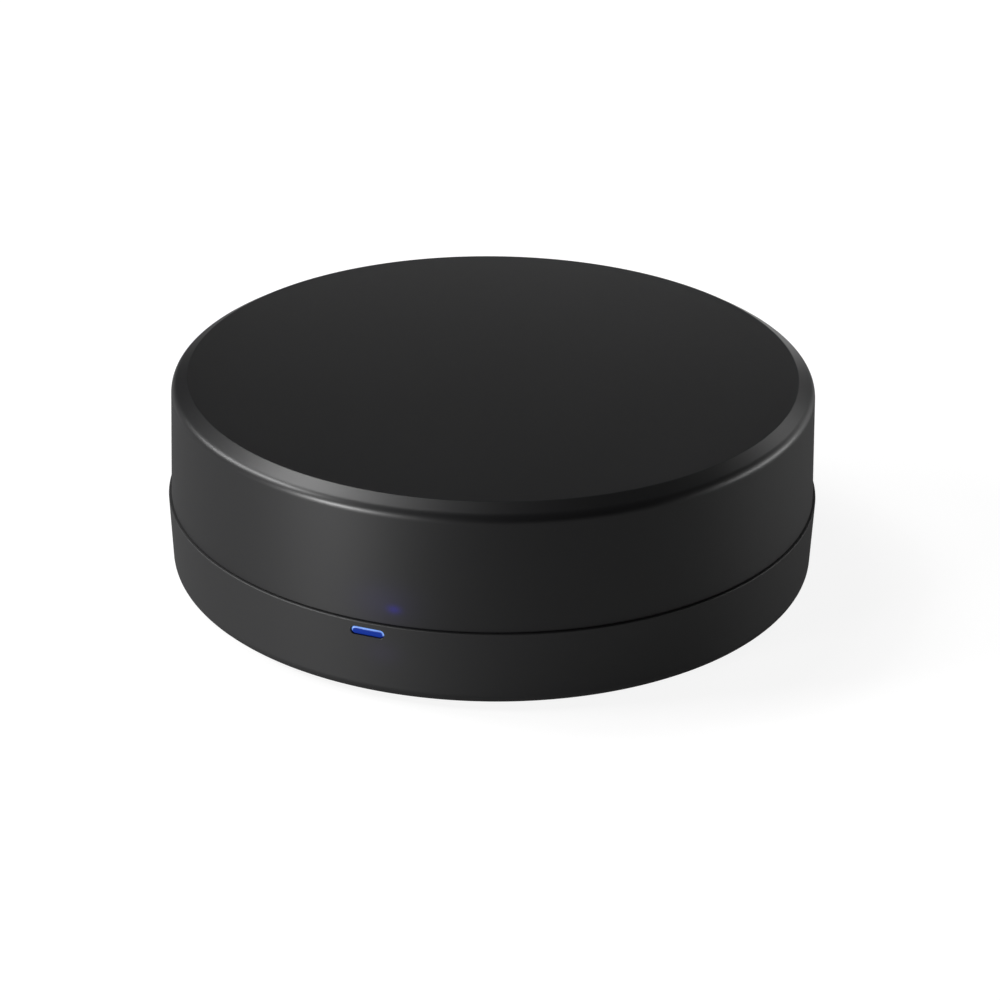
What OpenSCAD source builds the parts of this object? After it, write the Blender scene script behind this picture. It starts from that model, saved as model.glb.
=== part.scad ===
// Smart infrared blaster: a round table-top puck that repeats remote-control signals all round.
// Millimetres. +Z is up, the origin is the centre of the foot's underside, and the indicator slot faces -Y.

/* [Case] */
// Outer diameter of the base's rim, the widest part of the case
rim_d = 68; // [66:0.5:90]
// Headroom over the upright emitter, which sets the height of the case
headroom = 1.6; // [1:0.1:8]
// Width of the open joint line between the cover and the base
seam_gap = 0.2; // [0.1:0.05:0.4]
// How far the base's rim stands out past the cover
rim_step = 0.3; // [0.1:0.05:0.5]
// How far the base's wall leans in from the rim down to the underside
base_lean = 0.32; // [0.1:0.02:0.8]
// How far the cover's wall leans in from the seam up to the chamfer
cover_lean = 0.38; // [0.1:0.02:0.8]
// Rounding of the base's lower outer edge
base_edge_r = 1.2; // [0.6:0.1:2]
// Rounding of the two edges that face each other at the seam
seam_edge_r = 0.15; // [0.05:0.01:0.25]
// Rounding of the corners inside the two shells
inner_edge_r = 0.5; // [0.3:0.1:0.6]

/* [Cover] */
// Wall thickness of the cover at its mouth
cover_wall = 1.8; // [1.6:0.1:2.4]
// Thickness of the cover's flat top
cover_top = 1.8; // [1.2:0.1:2.4]
// Width of the chamfer round the top, seen from above
chamfer_w = 1.7; // [0.8:0.1:2.2]
// Height of the chamfer round the top
chamfer_h = 1; // [0.8:0.1:2]
// Rounding where the chamfer meets the wall
chamfer_outer_r = 1.2; // [0.3:0.1:1.2]
// Rounding where the chamfer meets the flat top
chamfer_inner_r = 0.3; // [0.1:0.05:0.8]
// Diameter of the bosses that take the case screws
boss_d = 5.2; // [4.4:0.1:5.4]
// Thickness of the rib behind each boss
boss_rib_t = 1; // [0.6:0.1:1.6]
// Height of the rib behind each boss
boss_rib_h = 5; // [2:0.5:8]

/* [Lip] */
// Thickness of the base's lip, which stands up inside the cover's mouth
lip_t = 0.9; // [0.7:0.05:1.1]
// Height of the lip over the seam
lip_h = 1.6; // [1.2:0.1:2.4]
// Clearance between the lip and the cover
lip_clear = 0.1; // [0.05:0.01:0.2]

/* [Base] */
// Thickness of the base's floor
floor_t = 1.8; // [1.5:0.1:2]
// Diameter of the posts that carry the circuit board
post_d = 5.8; // [5.6:0.1:6.4]
// Width of the small rests at the wall that also carry the board
rest_w = 1.6; // [1:0.1:2.4]
// How far the rests stand in from the wall
rest_l = 2; // [1.2:0.1:3]

/* [Foot and label] */
// How far the rubber foot ring lies in from the base's lower edge
foot_inset = 5.2; // [4.6:0.1:6]
// Width of the rubber foot ring's band
foot_w = 7.5; // [6:0.1:9]
// Thickness of the rubber foot ring
foot_t = 1.2; // [1:0.1:2.4]
// Depth of the groove that the foot ring is glued into
foot_groove = 0.6; // [0.4:0.1:0.8]
// Side clearance of the foot ring in its groove
foot_clear = 0.15; // [0.05:0.05:0.3]
// Rounding of the foot ring's lower edges
foot_edge_r = 0.3; // [0.1:0.05:0.5]
// Width of the bare band between the foot ring and the blank rating label
label_margin = 2; // [1:0.1:6]
// Thickness of the label
label_t = 0.2; // [0.1:0.05:0.3]
// Depth of the label's recess
label_groove = 0.35; // [0.3:0.05:0.6]
// Side clearance of the label in its recess
label_clear = 0.3; // [0.1:0.1:0.5]

/* [Case screws] */
// Outer diameter of the screw's thread
screw_d = 2; // [1.6:0.1:2.2]
// Length of the screw under its head
screw_len = 13; // [11:0.5:15]
// Diameter of the screw's head
screw_head_d = 3.8; // [3.4:0.1:4]
// Height of the screw's head
screw_head_h = 1.3; // [1:0.1:1.5]
// Width of a slot of the cross recess
screw_slot_w = 0.5; // [0.3:0.1:0.7]
// Length of a slot of the cross recess
screw_slot_l = 2.2; // [1.6:0.1:2.6]
// Depth of the cross recess
screw_slot_h = 0.8; // [0.4:0.1:0.9]
// Gap between the screw's head and the foot ring under it
screw_head_gap = 0.1; // [0.05:0.05:0.4]
// Room round the screw in the post and the board, over the diameter
screw_clear = 0.4; // [0.2:0.1:0.6]
// Room round the screw's head in the counterbore, over the diameter
screw_head_clear = 0.4; // [0.2:0.1:0.6]
// Room round the screw in the boss, over the diameter
pilot_clear = 0.04; // [0.02:0.02:0.1]
// Depth of the pilot hole past the screw's tip
pilot_spare = 0.6; // [0.2:0.1:1.2]

/* [Circuit board] */
// Thickness of the circuit board
board_t = 1.6; // [1:0.1:1.8]
// How far the seam lies over the board's underside
board_drop = 1; // [0.9:0.05:1.1]
// Gap between the board's edge and the wall
board_gap = 0.7; // [0.6:0.05:1]
// Width of the board's notch for the light pipe
notch_w = 6; // [5.6:0.1:7]
// Depth of the notch
notch_l = 0.9; // [0.8:0.05:1.2]
// Height of a solder joint under the board
solder_h = 0.6; // [0.3:0.1:0.8]
// Width of a solder joint at the board
solder_d = 1.7; // [1.4:0.1:1.9]

/* [Indicator] */
// Length of the indicator slot
slot_l = 3.5; // [2:0.1:4]
// Height of the indicator slot
slot_h = 0.9; // [0.6:0.05:1.1]
// How far the slot's middle lies below the seam
slot_drop = 1.1; // [1:0.05:1.2]
// Clearance round the light pipe in the slot
pipe_clear = 0.05; // [0.02:0.01:0.1]
// How far the light pipe's face lies back from the wall
pipe_recess = 0.3; // [0.1:0.05:0.5]
// Length of the light pipe's collar behind the wall
collar_l = 5; // [4.4:0.1:5.2]
// Height of the collar
collar_h = 1.7; // [1.5:0.05:1.8]
// Thickness of the collar
collar_t = 0.7; // [0.5:0.05:0.8]
// Length of the light pipe's bar behind the collar
pipe_bar_l = 1.6; // [1:0.1:2]
// Width of the bar
pipe_bar_w = 2.6; // [2:0.1:3]
// Height of the bar
pipe_bar_h = 0.85; // [0.6:0.05:1]
// Gap between the light pipe and its neighbours
pipe_gap = 0.1; // [0.05:0.05:0.2]

/* [Reset button] */
// Diameter of the button's head
button_d = 3.4; // [2.6:0.1:3.6]
// How far the button stands out of the wall
button_out = 0.5; // [0.4:0.05:0.8]
// How far the button travels
button_travel = 0.3; // [0.2:0.05:0.35]
// Rounding of the button's front edge
button_edge_r = 0.4; // [0.1:0.05:0.5]
// Room round the button in the wall, over the diameter
button_clear = 0.3; // [0.1:0.05:0.4]
// Diameter of the collar that keeps the button in
button_collar_d = 4.4; // [4.2:0.1:4.6]
// Thickness of the collar
button_collar_t = 0.8; // [0.5:0.1:0.9]
// Diameter of the stem behind the collar
button_stem_d = 2; // [1.4:0.1:2.4]
// Length of the stem behind the collar
button_stem_l = 0.7; // [0.5:0.1:1]
// Gap between the button's collar and the board over it, and the floor under it
button_gap = 0.4; // [0.2:0.05:0.6]
// Gap between the button and the switch's plunger at rest
button_play = 0.03; // [0.01:0.01:0.05]
// Gap between the collar and the wall at rest
button_wall_gap = 0.05; // [0.02:0.01:0.1]

/* [Side-push switch] */
// Width of the switch
switch_w = 6; // [5:0.1:6.2]
// Depth of the switch from front to back
switch_l = 3.4; // [2.6:0.1:4]
// Height of the switch under the board
switch_h = 4.3; // [4:0.1:4.6]
// Thickness of the switch's metal frame
frame_t = 0.25; // [0.15:0.05:0.35]
// Width of a leg of the frame
frame_leg_w = 1; // [0.6:0.1:1.4]
// Diameter of the plunger
plunger_d = 1.8; // [1.4:0.1:2]
// How far the plunger stands out of the frame
plunger_out = 0.6; // [0.5:0.1:0.8]
// Diameter of the collar that keeps the plunger in
plunger_collar_d = 2.3; // [2.1:0.1:2.5]
// Thickness of the plunger's collar
plunger_collar_t = 0.4; // [0.2:0.1:0.6]
// Clearance round the plunger
plunger_clear = 0.06; // [0.04:0.01:0.1]
// Distance between the two pins behind the switch's middle
switch_pin_pitch = 4.5; // [3.6:0.1:4.6]

/* [Infrared emitters] */
// Diameter of an emitter's lens
emitter_d = 5; // [4:0.1:5.2]
// Length of an emitter from flange to tip
emitter_len = 8.6; // [7:0.1:8.8]
// Diameter of an emitter's flange
emitter_flange_d = 5.8; // [5.4:0.1:5.9]
// Thickness of the flange
emitter_flange_t = 1; // [0.6:0.1:1.4]
// Gap between an emitter and the board
emitter_lift = 0.4; // [0.3:0.1:1.2]
// Gap between an emitter's tip and the wall
emitter_tip_gap = 1.5; // [1.2:0.1:2]
// Width of a lead
lead_w = 0.5; // [0.4:0.05:0.6]
// Distance between two leads
lead_pitch = 2.54; // [2:0.02:2.6]
// How far a lead runs back before it bends down
lead_run = 1.8; // [1:0.1:2]
// How far a lead stands out under the board
lead_tail = 0.9; // [0.8:0.1:1]
// Diameter of a lead's hole in the board
lead_hole_d = 0.95; // [0.9:0.05:1.1]
// Gap between the upright emitter's flange and the radio module
upright_gap = 1; // [0.6:0.1:2]

/* [Infrared receiver] */
// Width of the receiver's body
receiver_w = 6; // [5.8:0.1:6.4]
// Depth of the receiver's body
receiver_l = 3.6; // [2.8:0.1:4]
// Height of the receiver's body
receiver_h = 7; // [6:0.1:7.6]
// Radius of the receiver's lens
receiver_lens_r = 2; // [1.6:0.1:2.3]
// Gap between the receiver's body and the board
receiver_lift = 1.2; // [0.8:0.1:1.6]
// Gap between the receiver's lens and the wall
receiver_gap = 1.4; // [1.2:0.1:2]

/* [Radio module] */
// Width of the radio module
radio_w = 15; // [12:0.5:16]
// Length of the radio module
radio_l = 17.3; // [15:0.1:22]
// Thickness of the radio module's board
radio_t = 0.8; // [0.6:0.1:1.2]
// Gap between the radio module and the nearest resistor
radio_gap = 1.5; // [0.6:0.1:2.5]
// Width of the shield
shield_w = 12; // [10:0.5:13]
// Height of the shield
shield_h = 2.2; // [1.6:0.1:3]
// Rounding of the shield's corners
shield_r = 0.6; // [0.3:0.1:1]
// Distance of the shield from the module's rear end
shield_gap = 1; // [0.6:0.1:1.4]
// Gap between the shield and the antenna's track
antenna_gap = 0.7; // [0.4:0.1:1]
// Width of the antenna's track
antenna_w = 0.6; // [0.4:0.05:0.7]
// Thickness of the antenna's track
antenna_t = 0.1; // [0.05:0.05:0.2]
// Distance between two runs of the antenna
antenna_pitch = 2; // [1.6:0.1:2]
// Length of the antenna's runs
antenna_run = 4; // [3:0.1:5]
// Distance between the edge pads of the module
pad_pitch = 2; // [1.6:0.1:2]
// Diameter of an edge pad's half hole
pad_d = 0.8; // [0.5:0.1:1]

/* [USB socket] */
// Width of the socket
usb_w = 7.5; // [7:0.1:7.7]
// Height of the socket
usb_h = 2.6; // [2.4:0.05:2.8]
// Length of the socket
usb_l = 5.6; // [5:0.1:6]
// Thickness of the socket's sheet metal
usb_sheet = 0.3; // [0.2:0.05:0.35]
// Bevel of the socket's two corners next to the board
usb_bevel = 0.8; // [0.4:0.1:1]
// Width of the lip round the socket's mouth
usb_lip = 0.25; // [0.1:0.05:0.3]
// How far the socket's mouth lies back from the wall's outside
usb_recess = 0.9; // [0.7:0.1:1.1]
// Room round the socket in the wall
usb_clear = 0.2; // [0.1:0.05:0.3]
// Rounding of the port's corners in the wall
port_edge_r = 0.5; // [0.2:0.1:0.8]
// Thickness of the tongue
tongue_t = 0.6; // [0.4:0.05:0.7]
// Width of the tongue
tongue_w = 3.9; // [3.6:0.1:4.4]
// Length of the tongue
tongue_l = 3.4; // [2.6:0.1:3.6]
// How far the tongue's tip lies back from the socket's mouth
tongue_back = 0.7; // [0.4:0.1:1]
// Width of a contact
contact_w = 0.35; // [0.25:0.05:0.4]
// Thickness of a contact
contact_t = 0.12; // [0.08:0.02:0.16]
// Distance between two contacts
contact_pitch = 0.65; // [0.55:0.05:0.7]
// How far the contacts stand out behind the socket
contact_tail = 1; // [0.6:0.1:1.4]

/* [Small components] */
// Diameter of a storage capacitor's can
can_d = 6.3; // [5:0.1:6.4]
// Height of a storage capacitor's can
can_h = 5.6; // [4:0.1:7]
// Width of a capacitor's plastic base
can_base_w = 6.6; // [6.5:0.1:6.8]
// Thickness of a capacitor's plastic base
can_base_t = 0.9; // [0.6:0.1:1.4]
// How far a storage capacitor's middle lies in from the board's edge
can_inset = 7; // [5.5:0.1:8]
// Length of an emitter's resistor
resistor_l = 3.2; // [2:0.1:3.4]
// Width of an emitter's resistor
resistor_w = 1.6; // [0.8:0.1:1.7]
// Height of an emitter's resistor
resistor_h = 0.55; // [0.4:0.05:0.8]
// Gap between a resistor and the emitter's leads
resistor_gap = 0.5; // [0.3:0.1:0.7]
// Length of the regulator's body
regulator_l = 6.5; // [5:0.1:6.8]
// Width of the regulator's body
regulator_w = 3.5; // [3:0.1:3.7]
// Height of the regulator's body
regulator_h = 1.6; // [1.2:0.1:1.8]
// Distance between two of the regulator's leads
regulator_pitch = 2.3; // [1.6:0.1:2.4]
// Width of a regulator lead
regulator_lead_w = 0.7; // [0.5:0.1:0.8]
// Gap between the regulator's tab and the USB socket's contacts
regulator_gap = 2.5; // [0.6:0.1:3]
// Length of a transistor's body
transistor_l = 2.9; // [2:0.1:3.2]
// Width of a transistor's body
transistor_w = 1.3; // [1:0.1:1.6]
// Height of a transistor's body
transistor_h = 1; // [0.8:0.1:1.2]
// Distance between the two transistors
transistor_pitch = 5; // [4.4:0.1:6]
// Gap between the transistors and the front screw's post
transistor_gap = 3.5; // [1:0.1:5]
// Thickness of a small component's leads
chip_lead_t = 0.2; // [0.1:0.05:0.25]
// How far a small component's leads stand out
chip_lead_l = 0.7; // [0.5:0.1:1]
// Length of a ceramic capacitor
ceramic_l = 2; // [1:0.1:2.2]
// Width of a ceramic capacitor
ceramic_w = 1.25; // [0.5:0.05:1.4]
// Height of a ceramic capacitor
ceramic_h = 1; // [0.5:0.05:1.2]
// Distance between two ceramic capacitors
ceramic_pitch = 2.6; // [2.2:0.1:3]
// Gap between the ceramic capacitors and the regulator's leads
ceramic_gap = 0.8; // [0.4:0.1:1.2]
// Length of the side-facing indicator lamp
lamp_l = 3; // [2:0.1:3.2]
// Depth of the side-facing indicator lamp
lamp_w = 1; // [0.6:0.1:1.2]
// Height of the side-facing indicator lamp
lamp_h = 0.9; // [0.6:0.05:1]
// Width of the small lamp behind the cover
glow_lamp_w = 2; // [1.2:0.1:2.2]
// Depth of the small lamp behind the cover
glow_lamp_l = 1.25; // [0.8:0.05:1.4]
// Height of the small lamp behind the cover
glow_lamp_h = 0.8; // [0.5:0.1:1]

/* [Hidden] */
$fn = 96;

// Angles round the case, counted from +X towards the rear at 90 degrees
front_angle = 270;
screw_angles = [30, 150, 270];
rest_angles = [0, 180, 225, 315];
can_angles = [90, 210];
button_angle = 68;
receiver_angle = 318;
glow_lamp_angle = 274.5;
emitter_count = 6;
ceramic_count = 4;
antenna_runs = 6;
emitter_step = 360 / emitter_count;

// Number of straight pieces that stand for one rounded corner of an outline
corner_steps = 8;
// Overrun of every cut, and of every piece that is sunk into the one that carries it
overrun = 0.4;

// Heights, from the foot's underside up
foot_stand = foot_t - foot_groove;
floor_z = foot_stand + floor_t;
button_z = floor_z + button_gap + button_collar_d / 2;
board_z = button_z + button_collar_d / 2 + button_gap;
board_top = board_z + board_t;
seam_z = board_z + board_drop;
seam_h = seam_z - foot_stand;
slot_z = seam_z - slot_drop;
lip_z = seam_z + lip_h;
emitter_z = board_top + emitter_lift;
ceiling_z = emitter_z + emitter_len + headroom;
top_z = ceiling_z + cover_top;
screw_seat_z = foot_t + screw_head_gap + screw_head_h;

// Radii
rim_r = rim_d / 2;
base_low_r = rim_r - base_lean;
cover_seam_r = rim_r - rim_step;
shoulder_r = cover_seam_r - cover_lean;
top_flat_r = shoulder_r - chamfer_w;
inner_r = cover_seam_r - cover_wall;
lip_r = inner_r + lip_t;
board_r = inner_r - board_gap;
foot_r = base_low_r - foot_inset;
foot_bore_r = foot_r - foot_w;
label_r = foot_bore_r - label_margin;
screw_place_r = foot_r - foot_w / 2;
emitter_tip_r = inner_r - emitter_tip_gap;
emitter_back_r = emitter_tip_r - emitter_len;
lead_bend_r = emitter_back_r - lead_run;
resistor_r = lead_bend_r - lead_w / 2 - resistor_gap - resistor_w / 2;
can_r = board_r - can_inset;
receiver_face_r = inner_r - receiver_gap - receiver_lens_r;

// Radius of the base's drafted outer wall at height z
function wall_r(z) = base_low_r + base_lean * (z - foot_stand) / seam_h;

// How far out a flat face of half width half may reach and stay a gap off a round wall of radius r
function flat_reach(r, half, gap) = sqrt(pow(r - gap, 2) - pow(half, 2));

// Radial places of the light pipe, the button and the switch
collar_r = flat_reach(inner_r, collar_l / 2, pipe_gap);
pipe_face_r = flat_reach(wall_r(slot_z), slot_l / 2, pipe_recess);
lamp_r = collar_r - collar_t - pipe_bar_l - pipe_gap;
button_seat_r = flat_reach(inner_r, button_collar_d / 2, button_wall_gap);
button_face_r = wall_r(button_z) + button_out;
button_end_r = button_seat_r - button_collar_t - button_stem_l;
plunger_tip_r = button_end_r - button_play;
switch_front_r = plunger_tip_r - plunger_out - frame_t;
plunger_pocket_l = plunger_collar_t + button_travel + 2 * plunger_clear;
usb_mouth_y = wall_r(board_z - usb_h / 2) - usb_recess;
usb_back_y = usb_mouth_y - usb_l;
contact_z = board_z - usb_h + usb_sheet + (usb_h - 2 * usb_sheet - tongue_t) / 2;

// Places of what stands on the board or hangs under it, along X and Y
radio_x = radio_w / 2 + radio_gap - resistor_r + resistor_w / 2;
upright_x = radio_x + radio_w / 2 + upright_gap + emitter_flange_d / 2;
shield_l = radio_l - shield_gap - antenna_gap - antenna_run - antenna_w;
regulator_reach = regulator_w / 2 + 2 * chip_lead_l;
regulator_y = usb_back_y - contact_tail - regulator_gap - regulator_reach;
ceramic_y = regulator_y - regulator_reach - ceramic_gap - ceramic_l / 2;
transistor_y = post_d / 2 + transistor_gap + transistor_w / 2 + chip_lead_l - screw_place_r;

// Points of a rounded corner at q, between its neighbours p and s
function unit(v) = v / norm(v);
function corner(p, q, s, r) =
    let (a = unit(p - q), b = unit(s - q), half = acos(a * b) / 2, reach = r / tan(half))
    let (c = q + unit(a + b) * r / sin(half), u = q + a * reach - c, v = q + b * reach - c)
    let (start = atan2(u[1], u[0]), turn = (atan2(v[1], v[0]) - start + 540) % 360 - 180)
    [for (i = [0 : corner_steps])
        let (angle = start + turn * i / corner_steps) c + r * [cos(angle), sin(angle)]];

// A closed outline whose corners are rounded by the radii given
function outline(points, radii) =
    let (n = len(points))
    [for (i = [0 : n - 1])
        let (before = points[(i + n - 1) % n], after = points[(i + 1) % n])
            each radii[i] > 0 ? corner(before, points[i], after, radii[i]) : [points[i]]];

// Puts a child out along a direction: its +X then points outwards and +Y runs round the case
module out_at(angle, r, z) {
    rotate([0, 0, angle])
        translate([r, 0, z])
            children();
}

// A box from its middle in X and Y, standing on z = 0
module block(size) {
    translate([-size[0] / 2, -size[1] / 2, 0])
        cube(size);
}

// A cylinder that lies along +X
module lying_cylinder(d, h) {
    rotate([0, 90, 0])
        cylinder(d = d, h = h);
}

// A bar with round ends, its length along Y and its height along Z, that runs along +X
module capsule(l, h, depth) {
    translate([0, -(l - h) / 2, -h / 2])
        cube([depth, l - h, h]);
    for (side = [-1, 1])
        translate([0, side * (l - h) / 2, 0])
            lying_cylinder(h, depth);
}

// A plate with rounded corners, standing on z = 0
module rounded_plate(w, l, h, r) {
    block([w - 2 * r, l, h]);
    block([w, l - 2 * r, h]);
    for (x = [-1, 1], y = [-1, 1])
        translate([x * (w / 2 - r), y * (l / 2 - r), 0])
            cylinder(r = r, h = h);
}

// Case

module cover_shell() {
    rotate_extrude()
        polygon(outline(
            [[0, top_z], [top_flat_r, top_z], [shoulder_r, top_z - chamfer_h],
             [cover_seam_r, seam_z + seam_gap], [lip_r + lip_clear, seam_z + seam_gap],
             [lip_r + lip_clear, lip_z], [inner_r, lip_z], [inner_r, ceiling_z], [0, ceiling_z]],
            [0, chamfer_inner_r, chamfer_outer_r, seam_edge_r, 0, 0, 0, inner_edge_r, 0]));
}

module cover_boss() {
    translate([0, 0, board_top])
        cylinder(d = boss_d, h = ceiling_z + overrun - board_top);
    translate([0, -boss_rib_t / 2, ceiling_z - boss_rib_h])
        cube([inner_r + overrun - screw_place_r, boss_rib_t, boss_rib_h + overrun]);
}

module top_cover() {
    pilot_end = screw_seat_z + screw_len + pilot_spare;
    color([0.09, 0.09, 0.1])
        difference() {
            union() {
                cover_shell();
                for (a = screw_angles)
                    out_at(a, screw_place_r, 0)
                        cover_boss();
            }
            for (a = screw_angles)
                out_at(a, screw_place_r, board_top - overrun)
                    cylinder(d = screw_d + pilot_clear, h = pilot_end - board_top + overrun);
        }
}

module base_cup() {
    rotate_extrude()
        polygon(outline(
            [[0, foot_stand], [base_low_r, foot_stand], [rim_r, seam_z], [lip_r, seam_z], [lip_r, lip_z],
             [inner_r, lip_z], [inner_r, floor_z], [0, floor_z]],
            [0, base_edge_r, seam_edge_r, 0, seam_edge_r, 0, inner_edge_r, 0]));
}

module board_post() {
    translate([0, 0, floor_z - overrun])
        cylinder(d = post_d, h = board_z - floor_z + overrun);
}

module board_rest() {
    translate([-rest_l, -rest_w / 2, floor_z - overrun])
        cube([rest_l + overrun, rest_w, board_z - floor_z + overrun]);
}

module screw_way() {
    translate([0, 0, foot_stand])
        cylinder(d = screw_head_d + screw_head_clear, h = screw_seat_z - foot_stand);
    translate([0, 0, foot_stand])
        cylinder(d = screw_d + screw_clear, h = board_z + overrun - foot_stand);
}

module foot_channel() {
    translate([0, 0, foot_stand - overrun])
        difference() {
            cylinder(r = foot_r + foot_clear, h = foot_groove + overrun);
            translate([0, 0, -overrun])
                cylinder(r = foot_bore_r - foot_clear, h = foot_groove + 3 * overrun);
        }
}

module usb_port() {
    port_w = usb_w + 2 * usb_lip + 2 * usb_clear;
    port_h = usb_h + 2 * usb_clear;
    translate([0, inner_r - cover_wall, board_z - usb_h / 2])
        rotate([-90, 0, 0])
            rounded_plate(port_w, port_h, cover_wall + rim_r - inner_r + overrun, port_edge_r);
}

module base_shell() {
    color([0.1, 0.1, 0.11])
        difference() {
            union() {
                base_cup();
                for (a = screw_angles)
                    out_at(a, screw_place_r, 0)
                        board_post();
                for (a = rest_angles)
                    out_at(a, inner_r, 0)
                        board_rest();
            }
            for (a = screw_angles)
                out_at(a, screw_place_r, 0)
                    screw_way();
            foot_channel();
            translate([0, 0, foot_stand - overrun])
                cylinder(r = label_r + label_clear, h = label_groove + overrun);
            usb_port();
            out_at(front_angle, inner_r - overrun, slot_z)
                capsule(slot_l, slot_h, rim_r - inner_r + 2 * overrun);
            out_at(button_angle, inner_r - overrun, button_z)
                lying_cylinder(button_d + button_clear, rim_r - inner_r + 2 * overrun);
        }
}

module foot_ring() {
    color([0.05, 0.05, 0.05])
        rotate_extrude()
            polygon(outline(
                [[foot_bore_r, 0], [foot_r, 0], [foot_r, foot_t], [foot_bore_r, foot_t]],
                [foot_edge_r, foot_edge_r, 0, 0]));
}

module rating_label() {
    color([0.75, 0.75, 0.77])
        translate([0, 0, foot_stand + label_groove - label_t])
            cylinder(r = label_r, h = label_t);
}

module light_pipe() {
    collar_back_r = collar_r - collar_t;
    head_start_r = collar_r - collar_t / 2;
    color([0.15, 0.35, 0.95])
        out_at(front_angle, 0, 0) {
            translate([head_start_r, 0, slot_z])
                capsule(slot_l - 2 * pipe_clear, slot_h - 2 * pipe_clear, pipe_face_r - head_start_r);
            translate([collar_back_r, -collar_l / 2, slot_z - collar_h / 2])
                cube([collar_t, collar_l, collar_h]);
            translate([collar_back_r - pipe_bar_l, -pipe_bar_w / 2, board_z - pipe_gap - pipe_bar_h])
                cube([pipe_bar_l + collar_t / 2, pipe_bar_w, pipe_bar_h]);
        }
}

module case_screw() {
    tip_l = screw_d;
    difference() {
        translate([0, 0, screw_seat_z - screw_head_h])
            cylinder(d = screw_head_d, h = screw_head_h);
        for (turn = [0, 90])
            rotate([0, 0, turn])
                translate([0, 0, screw_seat_z - screw_head_h - overrun])
                    block([screw_slot_l, screw_slot_w, screw_slot_h + overrun]);
    }
    translate([0, 0, screw_seat_z - screw_head_h / 4])
        cylinder(d = screw_d, h = screw_len - tip_l + screw_head_h / 4);
    translate([0, 0, screw_seat_z + screw_len - tip_l])
        cylinder(d1 = screw_d, d2 = screw_d / 5, h = tip_l);
}

module case_screws() {
    color([0.62, 0.62, 0.64])
        for (a = screw_angles)
            out_at(a, screw_place_r, 0)
                case_screw();
}

// Reset button and its switch

module reset_button() {
    color([0.08, 0.08, 0.09])
        out_at(button_angle, 0, button_z)
            rotate([0, 90, 0])
                rotate_extrude()
                    polygon(outline(
                        [[0, button_end_r], [button_stem_d / 2, button_end_r],
                         [button_stem_d / 2, button_seat_r - button_collar_t],
                         [button_collar_d / 2, button_seat_r - button_collar_t],
                         [button_collar_d / 2, button_seat_r], [button_d / 2, button_seat_r],
                         [button_d / 2, button_face_r], [0, button_face_r]],
                        [0, 0, 0, 0, 0, 0, button_edge_r, 0]));
}

module switch_body() {
    color([0.12, 0.12, 0.13])
        out_at(button_angle, 0, 0)
            difference() {
                translate([switch_front_r - switch_l, -switch_w / 2, board_z - switch_h])
                    cube([switch_l, switch_w, switch_h]);
                translate([switch_front_r - plunger_pocket_l, 0, button_z])
                    lying_cylinder(plunger_collar_d + 2 * plunger_clear, plunger_pocket_l + overrun);
            }
}

module switch_frame() {
    leg_end = board_top + lead_tail - overrun;
    color([0.72, 0.72, 0.74])
        out_at(button_angle, 0, 0) {
            difference() {
                translate([switch_front_r, -switch_w / 2 - frame_t, board_z - switch_h])
                    cube([frame_t, switch_w + 2 * frame_t, switch_h]);
                translate([switch_front_r - overrun, 0, button_z])
                    lying_cylinder(plunger_d + 2 * plunger_clear, frame_t + 2 * overrun);
            }
            for (side = [-1, 1])
                translate([switch_front_r - frame_leg_w, side * (switch_w + frame_t) / 2 - frame_t / 2,
                           board_z - switch_h])
                    cube([frame_leg_w + frame_t, frame_t, leg_end - board_z + switch_h]);
        }
}

module switch_plunger() {
    color([0.85, 0.82, 0.72])
        out_at(button_angle, 0, button_z) {
            translate([switch_front_r - plunger_clear - plunger_collar_t, 0, 0])
                lying_cylinder(plunger_collar_d, plunger_collar_t);
            translate([switch_front_r - plunger_clear - plunger_collar_t, 0, 0])
                lying_cylinder(plunger_d, plunger_tip_r - switch_front_r + plunger_clear + plunger_collar_t);
        }
}

// Calls its children once for each pin of the switch, at the pin's place on the board
module at_switch_pins() {
    out_at(button_angle, switch_front_r - switch_l - lead_hole_d, 0)
        for (side = [-1, 1])
            translate([0, side * switch_pin_pitch / 2, 0])
                children();
}

module switch_pins() {
    foot_l = lead_hole_d + lead_w / 2;
    color([0.78, 0.78, 0.8])
        at_switch_pins() {
            translate([0, 0, board_z - solder_h - lead_w])
                block([lead_w, lead_w, board_top + lead_tail - board_z - overrun + solder_h + lead_w]);
            translate([-lead_w / 2, -lead_w / 2, board_z - solder_h - lead_w])
                cube([foot_l, lead_w, lead_w]);
        }
}

// Board, leads and solder

// Calls its children once for each lead that goes through the board, at the lead's place
module at_leads() {
    for (i = [0 : emitter_count - 1], side = [-1, 1])
        out_at(i * emitter_step, lead_bend_r, 0)
            translate([0, side * lead_pitch / 2, 0])
                children();
    for (side = [-1, 1])
        translate([upright_x, side * lead_pitch / 2, 0])
            children();
    at_receiver_leads()
        children();
}

module at_receiver_leads() {
    out_at(receiver_angle, receiver_face_r - receiver_l / 2, 0)
        for (i = [-1, 0, 1])
            translate([0, i * lead_pitch, 0])
                children();
}

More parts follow.
